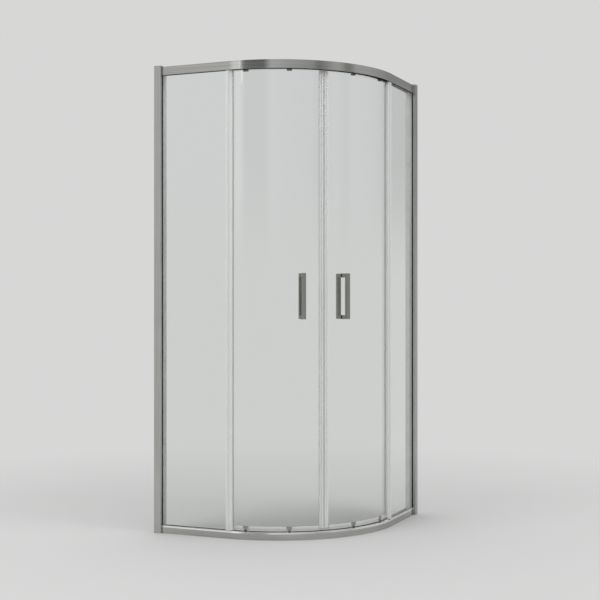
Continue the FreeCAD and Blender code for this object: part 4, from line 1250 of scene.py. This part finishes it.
# Brackets: the bridge over the glass, its bends, the legs' free corners, and the edges of sheet and eye.
BRIDGE = 1.6 * MM
BEND = 1.1 * MM
FOOT_RADIUS = 2.2 * MM
SHEET_EDGE = 0.25 * MM
EYE_EDGE = 0.2 * MM
UPPER_LIFT = 1 * MM
# Axles: the heads' radii and thickness, the edges, and the play in a wheel's bore.
UPPER_HEAD = 4.5 * MM
LOWER_HEAD = 3.5 * MM
HEAD_THICKNESS = 1 * MM
AXLE_EDGE = 0.2 * MM
AXLE_PLAY = 0.05 * MM
# Wheels: the gap to the neck, the treads' edges, the groove's depth and half width, and the width beyond
# which a wheel has two treads.
WHEEL_GAP = 0.45 * MM
TREAD_EDGE = 0.35 * MM
TREAD_GROOVE = 1 * MM
ONE_TREAD = 8 * MM
# Clamp screws: how far they stand out and lie from the middle, and the chamfer, socket and rim.
SCREW_RISE = 1.5 * MM
SCREW_ACROSS = 8 * MM
SCREW_CHAMFER = 0.25 * MM
SOCKET_DEPTH = 0.9 * MM
SOCKET_SHARE = 0.55
RIM_SHARE = 0.85


class SHOWER_OT_rollers(Operator):
    """Make the roller brackets with their clamp screws, the stub axles and the wheels"""

    bl_idname = "shower.rollers"
    bl_label = "Rollers"

    def execute(self, context):
        sizes = context.scene.shower_rollers
        rails = context.scene.shower_rails
        self.outer_in = DOOR_OUTER + FIT_GAP / 2
        self.outer_out = self.outer_in + sizes.sheet
        self.inner_out = DOOR_INNER - FIT_GAP
        self.inner_in = self.inner_out - sizes.sheet
        ledge = TOP_RAIL_LOW + rails.ledge_rise + rails.ledge_thickness
        groove = BOTTOM_RAIL_TOP - rails.groove_depth
        axles, screws = bmesh.new(), bmesh.new()
        for spot, bearing in ROLLER_BEARINGS:
            for level, edge_z, axle_z, radius, width, head, upward in (
                ("upper", DOOR_HIGH, ledge + FIT_GAP + sizes.upper_radius, sizes.upper_radius,
                 sizes.upper_width, UPPER_HEAD, 1),
                ("lower", DOOR_LOW, groove + FIT_GAP + sizes.lower_radius, sizes.lower_radius,
                 sizes.lower_width, LOWER_HEAD, -1),
            ):
                place = bearing_frame(bearing, edge_z)
                lift = UPPER_LIFT + FIT_GAP * 2 if upward > 0 else 0
                bracket = self.saddle(sizes, lift, axle_z - edge_z, upward)
                bmesh.ops.transform(bracket, matrix=place, verts=bracket.verts)
                keep_both(
                    bracket, f"{level}_saddle_{spot}", [f"{level}_bracket_{{side}}_{spot}"], "door_{side}",
                    ["bracket_metal"],
                )
                self.clamp_screws(screws, sizes, place, -(sizes.grip + lift) / 2 * upward)
                at_axle = bearing_frame(bearing, axle_z)
                start = self.outer_in - WHEEL_GAP
                join(axles, self.axle(sizes, start - width + FIT_GAP, head), at_axle)
                wheel = self.wheel(sizes, start, width, radius, head)
                bmesh.ops.transform(wheel, matrix=at_axle, verts=wheel.verts)
                keep_both(
                    wheel, f"{level}_roller_{spot}", [f"{level}_wheel_{{side}}_{spot}"],
                    f"{level}_wheel_{{side}}_{spot}", ["wheel_nylon"],
                )
        close(axles, TURNED_LIMIT)
        close(screws, TURNED_LIMIT)
        keep_both(axles, "axles", ["wheel_axles_{side}"], "door_{side}", ["fastener_steel"])
        keep_both(
            screws, "clamp_screws", ["bracket_screws_{side}"], "door_{side}", ["fastener_steel"]
        )
        return {"FINISHED"}

    def saddle(self, sizes, lift, axle, upward):
        """Bent sheet over the leaf's edge: two legs, a bridge and the neck for the axle. Heights are measured
        from the leaf's edge; upward is 1 at the top edge and -1 at the lower one."""
        bm = bmesh.new()
        foot, root = -sizes.grip * upward, -lift * upward
        half = sizes.bracket_width / 2
        for face_in in (self.outer_in, self.inner_in):
            leg = bmesh.new()
            corners = [(face_in, across, up) for across, up in block(-half, half, foot, root)]
            face = outline(leg, corners, FOOT_RADIUS, 4, lambda corner: abs(corner.z - foot) < SLIP_GAP)
            stretch(leg, face, (sizes.sheet, 0, 0))
            bmesh.ops.recalc_face_normals(leg, faces=leg.faces)
            ease_edges(leg, SHEET_EDGE, 2, SHEET_LIMIT)
            join(bm, leg)
        bridge = FIT_GAP * upward
        far = bridge + BRIDGE * upward
        section = [
            (self.outer_out, root), (self.outer_out, axle), (self.outer_in, axle), (self.outer_in, far),
            (self.inner_in, far), (self.inner_in, root), (self.inner_out, root), (self.inner_out, bridge),
            (self.outer_in, bridge), (self.outer_in, root),
        ]
        neck = bmesh.new()
        half = sizes.neck_width / 2
        face = outline(
            neck, [(out, -half, up) for out, up in section], BEND, 4,
            lambda corner: abs(corner.z - far) < SLIP_GAP and corner.x < DOOR_MIDDLE,
        )
        stretch(neck, face, (0, sizes.neck_width, 0))
        bmesh.ops.recalc_face_normals(neck, faces=neck.faces)
        join(bm, neck)
        eye = bmesh.new()
        place = Matrix.Translation((self.outer_in + sizes.sheet / 2, 0, axle))
        bmesh.ops.create_cone(
            eye, cap_ends=True, segments=40, radius1=half, radius2=half, depth=sizes.sheet,
            matrix=place @ Matrix.Rotation(math.radians(90), 4, "Y"),
        )
        ease_edges(eye, EYE_EDGE, 2, SHEET_LIMIT)
        join(bm, eye)
        close(bm)
        return bm

    def clamp_screws(self, bm, sizes, place, level):
        """Two socket-head screws through the inner leg."""
        radius = sizes.screw_radius
        socket = radius * SOCKET_SHARE
        start = self.inner_in - SCREW_RISE
        floor = start + SOCKET_DEPTH
        section = [
            (start, socket), (start, radius * RIM_SHARE), (start + SCREW_CHAMFER, radius),
            (self.inner_out, radius), (self.inner_out, 0), (floor, 0), (floor, socket),
        ]
        for across in (-SCREW_ACROSS, SCREW_ACROSS):
            screw = bmesh.new()
            lathe(screw, section, steps=24)
            join(bm, screw, place @ Matrix.Translation((0, across, level)))

    def axle(self, sizes, end, head):
        """Headed stub axle, flush in the bracket."""
        radius = sizes.axle_radius
        bm = bmesh.new()
        neck = end + HEAD_THICKNESS
        lathe(bm, [
            (end, 0), (self.outer_out, 0), (self.outer_out, radius), (neck, radius), (neck, head), (end, head),
        ], AXLE_EDGE, 40)
        return bm

    def wheel(self, sizes, start, width, radius, head):
        """Nylon wheel with a recess for the axle's head. A wide one has two treads, with a groove between."""
        end = start - width
        bore = sizes.axle_radius + AXLE_PLAY
        recess = end + HEAD_THICKNESS + FIT_GAP * 2
        middle = (start + end) / 2
        groove = TREAD_GROOVE
        section = [(start, bore), (start, radius)]
        if width > ONE_TREAD:
            section += [
                (middle + groove, radius), (middle + groove, radius - groove),
                (middle - groove, radius - groove), (middle - groove, radius),
            ]
        section += [(end, radius), (end, head + FIT_GAP * 2), (recess, head + FIT_GAP * 2), (recess, bore)]
        bm = bmesh.new()
        lathe(bm, section, TREAD_EDGE, 64)
        close(bm, WHEEL_LIMIT)
        return bm


# ---- Stage ----------------------------------------------------------------------------------------

# What metal and glass see round the stage, as (compass direction in degrees, brightness): -90 is in front.
PANELS = (
    (-180, 0.68), (-126, 0.74), (-115, 0.74),  # plain wall
    (-112, 1.25), (-107, 1.25),                # bright panel
    (-101, 0.2), (-81, 0.15),                  # broad dark flag
    (-75, 0.74), (-34, 0.44),                  # wall that darkens to the right
    (-30, 0.22), (-25, 0.3),                   # narrow dark flag
    (-12, 0.58), (-7, 0.58),                   # grey panel
    (0, 0.3), (5, 0.3),                        # second narrow flag
    (12, 0.62), (51, 0.46), (72, 0.34),        # wall on the right
    (95, 0.68),                                # plain wall behind the object
)
# The sines of a ray's rise between which the panels fade in, and the point that the lamps face.
PANEL_FOOT = 0.01
PANEL_FULL = 0.12
LAMP_TARGET = Vector((0, -0.2, 1.4))


class SHOWER_OT_stage(Operator):
    """Set the floor, the pale surroundings, the soft lights and the camera"""

    bl_idname = "shower.stage"
    bl_label = "Stage"

    def execute(self, context):
        sizes = context.scene.shower_stage
        self.camera(context.scene, sizes)
        self.floor(sizes)
        self.surroundings(context.scene, sizes)
        self.softbox("key", (-1.6, -3.4, 4.9), (2.4, 1.6), 70)
        self.softbox("fill", (3.8, -0.4, 4.6), (2.4, 1.6), 50)
        slim = self.softbox("slim_light", (-1.31, -5.25, 2.95), (0.16, 0.3), 0.35)
        slim.visible_glossy = True
        return {"FINISHED"}

    def camera(self, scene, sizes):
        """Camera at the photograph's angle."""
        camera = bpy.data.cameras.new("camera")
        camera.sensor_width = 36
        camera.lens = sizes.lens
        camera.clip_end = 200
        holder = bpy.data.objects.new("camera", camera)
        scene.collection.objects.link(holder)
        holder.location = sizes.camera
        holder.rotation_euler = (math.radians(90 + sizes.tilt), 0, math.radians(sizes.heading))
        scene.camera = holder

    def floor(self, sizes):
        """Pale floor that holds the object's shadow and runs into the backdrop further out."""
        mesh = bpy.data.meshes.new("floor")
        bm = bmesh.new()
        bmesh.ops.create_circle(bm, cap_ends=True, segments=96, radius=sizes.floor_radius)
        bm.to_mesh(mesh)
        bm.free()
        material, tree, shader = new_finish("pale_floor")
        shader.inputs["Base Color"].default_value = (*sizes.floor, 1)
        shader.inputs["Roughness"].default_value = 0.8
        shader.inputs["Specular IOR Level"].default_value = 0.1
        place = tree.nodes.new("ShaderNodeTexCoord")
        distance = tree.nodes.new("ShaderNodeVectorMath")
        distance.operation = "LENGTH"
        tree.links.new(place.outputs["Object"], distance.inputs[0])
        share_far = tree.nodes.new("ShaderNodeMapRange")
        share_far.interpolation_type = "SMOOTHSTEP"
        share_far.inputs["From Min"].default_value = sizes.floor_near
        share_far.inputs["From Max"].default_value = sizes.floor_far
        tree.links.new(distance.outputs["Value"], share_far.inputs["Value"])
        far = tree.nodes.new("ShaderNodeEmission")
        far.inputs["Color"].default_value = (*sizes.backdrop, 1)
        factor = multiplied(tree, share_far.outputs["Result"], self.seen(tree)[0])
        mixed = self.mixed(tree, factor, shader.outputs["BSDF"], far.outputs["Emission"])
        tree.links.new(mixed, tree.nodes["Material Output"].inputs["Surface"])
        mesh.materials.append(material)
        piece = bpy.data.objects.new("floor", mesh)
        bpy.context.scene.collection.objects.link(piece)

    def surroundings(self, scene, sizes):
        """Even light, a plain backdrop for the camera, and a studio's panels that metal and glass mirror."""
        world = bpy.data.worlds.new("pale_surroundings")
        world.use_nodes = True
        tree = world.node_tree
        light = tree.nodes["Background"]
        light.inputs["Color"].default_value = (*sizes.light, 1)
        plain = tree.nodes.new("ShaderNodeBackground")
        plain.inputs["Color"].default_value = (*sizes.backdrop, 1)
        panels = tree.nodes.new("ShaderNodeBackground")
        brightness, height = self.panels(tree)
        tree.links.new(brightness, panels.inputs["Color"])
        seen, mirrored = self.seen(tree)
        factor = multiplied(tree, mirrored, height)
        backdrop = self.mixed(tree, factor, plain.outputs["Background"], panels.outputs["Background"])
        mixed = self.mixed(tree, seen, light.outputs["Background"], backdrop)
        tree.links.new(mixed, tree.nodes["World Output"].inputs["Surface"])
        scene.world = world
        scene.view_settings.view_transform = "Standard"

    def seen(self, tree):
        """1 where the camera sees a thing, directly or in metal or glass, and 1 where it is mirrored."""
        path = tree.nodes.new("ShaderNodeLightPath")
        total = path.outputs["Is Camera Ray"]
        for kind in ("Is Glossy Ray", "Is Transmission Ray"):
            node = tree.nodes.new("ShaderNodeMath")
            node.operation = "ADD"
            node.use_clamp = True
            tree.links.new(total, node.inputs[0])
            tree.links.new(path.outputs[kind], node.inputs[1])
            total = node.outputs["Value"]
        return total, path.outputs["Is Glossy Ray"]

    def mixed(self, tree, factor, first, second):
        """Two shaders mixed by a factor."""
        mix = tree.nodes.new("ShaderNodeMixShader")
        for socket, source in zip(mix.inputs, (factor, first, second)):
            tree.links.new(source, socket)
        return mix.outputs["Shader"]

    def panels(self, tree):
        """Brightness of the surroundings by compass direction, and how far that counts at each height."""
        place = tree.nodes.new("ShaderNodeTexCoord")
        parts = tree.nodes.new("ShaderNodeSeparateXYZ")
        tree.links.new(place.outputs["Generated"], parts.inputs["Vector"])
        angle = tree.nodes.new("ShaderNodeMath")
        angle.operation = "ARCTAN2"
        tree.links.new(parts.outputs["Y"], angle.inputs[0])
        tree.links.new(parts.outputs["X"], angle.inputs[1])
        turn = tree.nodes.new("ShaderNodeMapRange")
        turn.inputs["From Min"].default_value = -math.pi
        turn.inputs["From Max"].default_value = math.pi
        tree.links.new(angle.outputs["Value"], turn.inputs["Value"])
        ramp = tree.nodes.new("ShaderNodeValToRGB")
        tree.links.new(turn.outputs["Result"], ramp.inputs["Fac"])
        stops = ramp.color_ramp.elements
        while len(stops) > 1:
            stops.remove(stops[0])
        stops[0].position = 0
        for degrees, brightness in PANELS:
            stop = stops[0] if degrees == PANELS[0][0] else stops.new((degrees + 180) / 360)
            stop.color = (brightness, brightness, brightness, 1)
        height = tree.nodes.new("ShaderNodeMapRange")
        height.interpolation_type = "SMOOTHSTEP"
        height.inputs["From Min"].default_value = PANEL_FOOT
        height.inputs["From Max"].default_value = PANEL_FULL
        tree.links.new(parts.outputs["Z"], height.inputs["Value"])
        return ramp.outputs["Color"], height.outputs["Result"]

    def softbox(self, name, place, size, watts):
        """A rectangular soft light that faces the upper half of the object."""
        light = bpy.data.lights.new(name, "AREA")
        light.shape = "RECTANGLE"
        light.size, light.size_y = size
        light.energy = watts
        lamp = bpy.data.objects.new(name, light)
        bpy.context.scene.collection.objects.link(lamp)
        lamp.location = place
        lamp.rotation_euler = (LAMP_TARGET - Vector(place)).to_track_quat("-Z", "Y").to_euler()
        lamp.visible_camera = False
        lamp.visible_transmission = False
        lamp.visible_glossy = False
        return lamp


# ---- Sidebar and registration ---------------------------------------------------------------------

GROUPS = {
    "shower_rails": RailSizes,
    "shower_glass": GlassSizes,
    "shower_seals": SealSizes,
    "shower_handles": HandleSizes,
    "shower_rollers": RollerSizes,
    "shower_metal": MetalFinish,
    "shower_plastic": PlasticFinish,
    "shower_stage": StageSizes,
}
STEPS = (
    SHOWER_OT_stage,
    SHOWER_OT_wall_profiles,
    SHOWER_OT_posts,
    SHOWER_OT_rails,
    SHOWER_OT_rail_fittings,
    SHOWER_OT_panes,
    SHOWER_OT_leaves,
    SHOWER_OT_seals,
    SHOWER_OT_handles,
    SHOWER_OT_rollers,
)


class SHOWER_PT_enclosure(Panel):
    """Lists the pieces and their sizes in the sidebar"""

    bl_idname = "SHOWER_PT_enclosure"
    bl_label = "Quadrant shower"
    bl_space_type = "VIEW_3D"
    bl_region_type = "UI"
    bl_category = "Shower"

    def draw(self, context):
        for step in STEPS:
            self.layout.operator(step.bl_idname)
        for name, group in GROUPS.items():
            box = self.layout.box()
            box.label(text=group.__doc__)
            for prop in group.__annotations__:
                box.prop(getattr(context.scene, name), prop)


def register():
    for item in (*GROUPS.values(), *STEPS, SHOWER_PT_enclosure):
        bpy.utils.register_class(item)
    for name, group in GROUPS.items():
        setattr(bpy.types.Scene, name, PointerProperty(type=group))


def unregister():
    for name in GROUPS:
        delattr(bpy.types.Scene, name)
    for item in reversed((*GROUPS.values(), *STEPS, SHOWER_PT_enclosure)):
        bpy.utils.unregister_class(item)


def main():
    register()
    bpy.ops.shower.stage()
    bpy.ops.shower.wall_profiles()
    bpy.ops.shower.posts()
    bpy.ops.shower.rails()
    bpy.ops.shower.rail_fittings()
    bpy.ops.shower.panes()
    bpy.ops.shower.leaves()
    bpy.ops.shower.seals()
    bpy.ops.shower.handles()
    bpy.ops.shower.rollers()


if __name__ == "__main__":
    main()
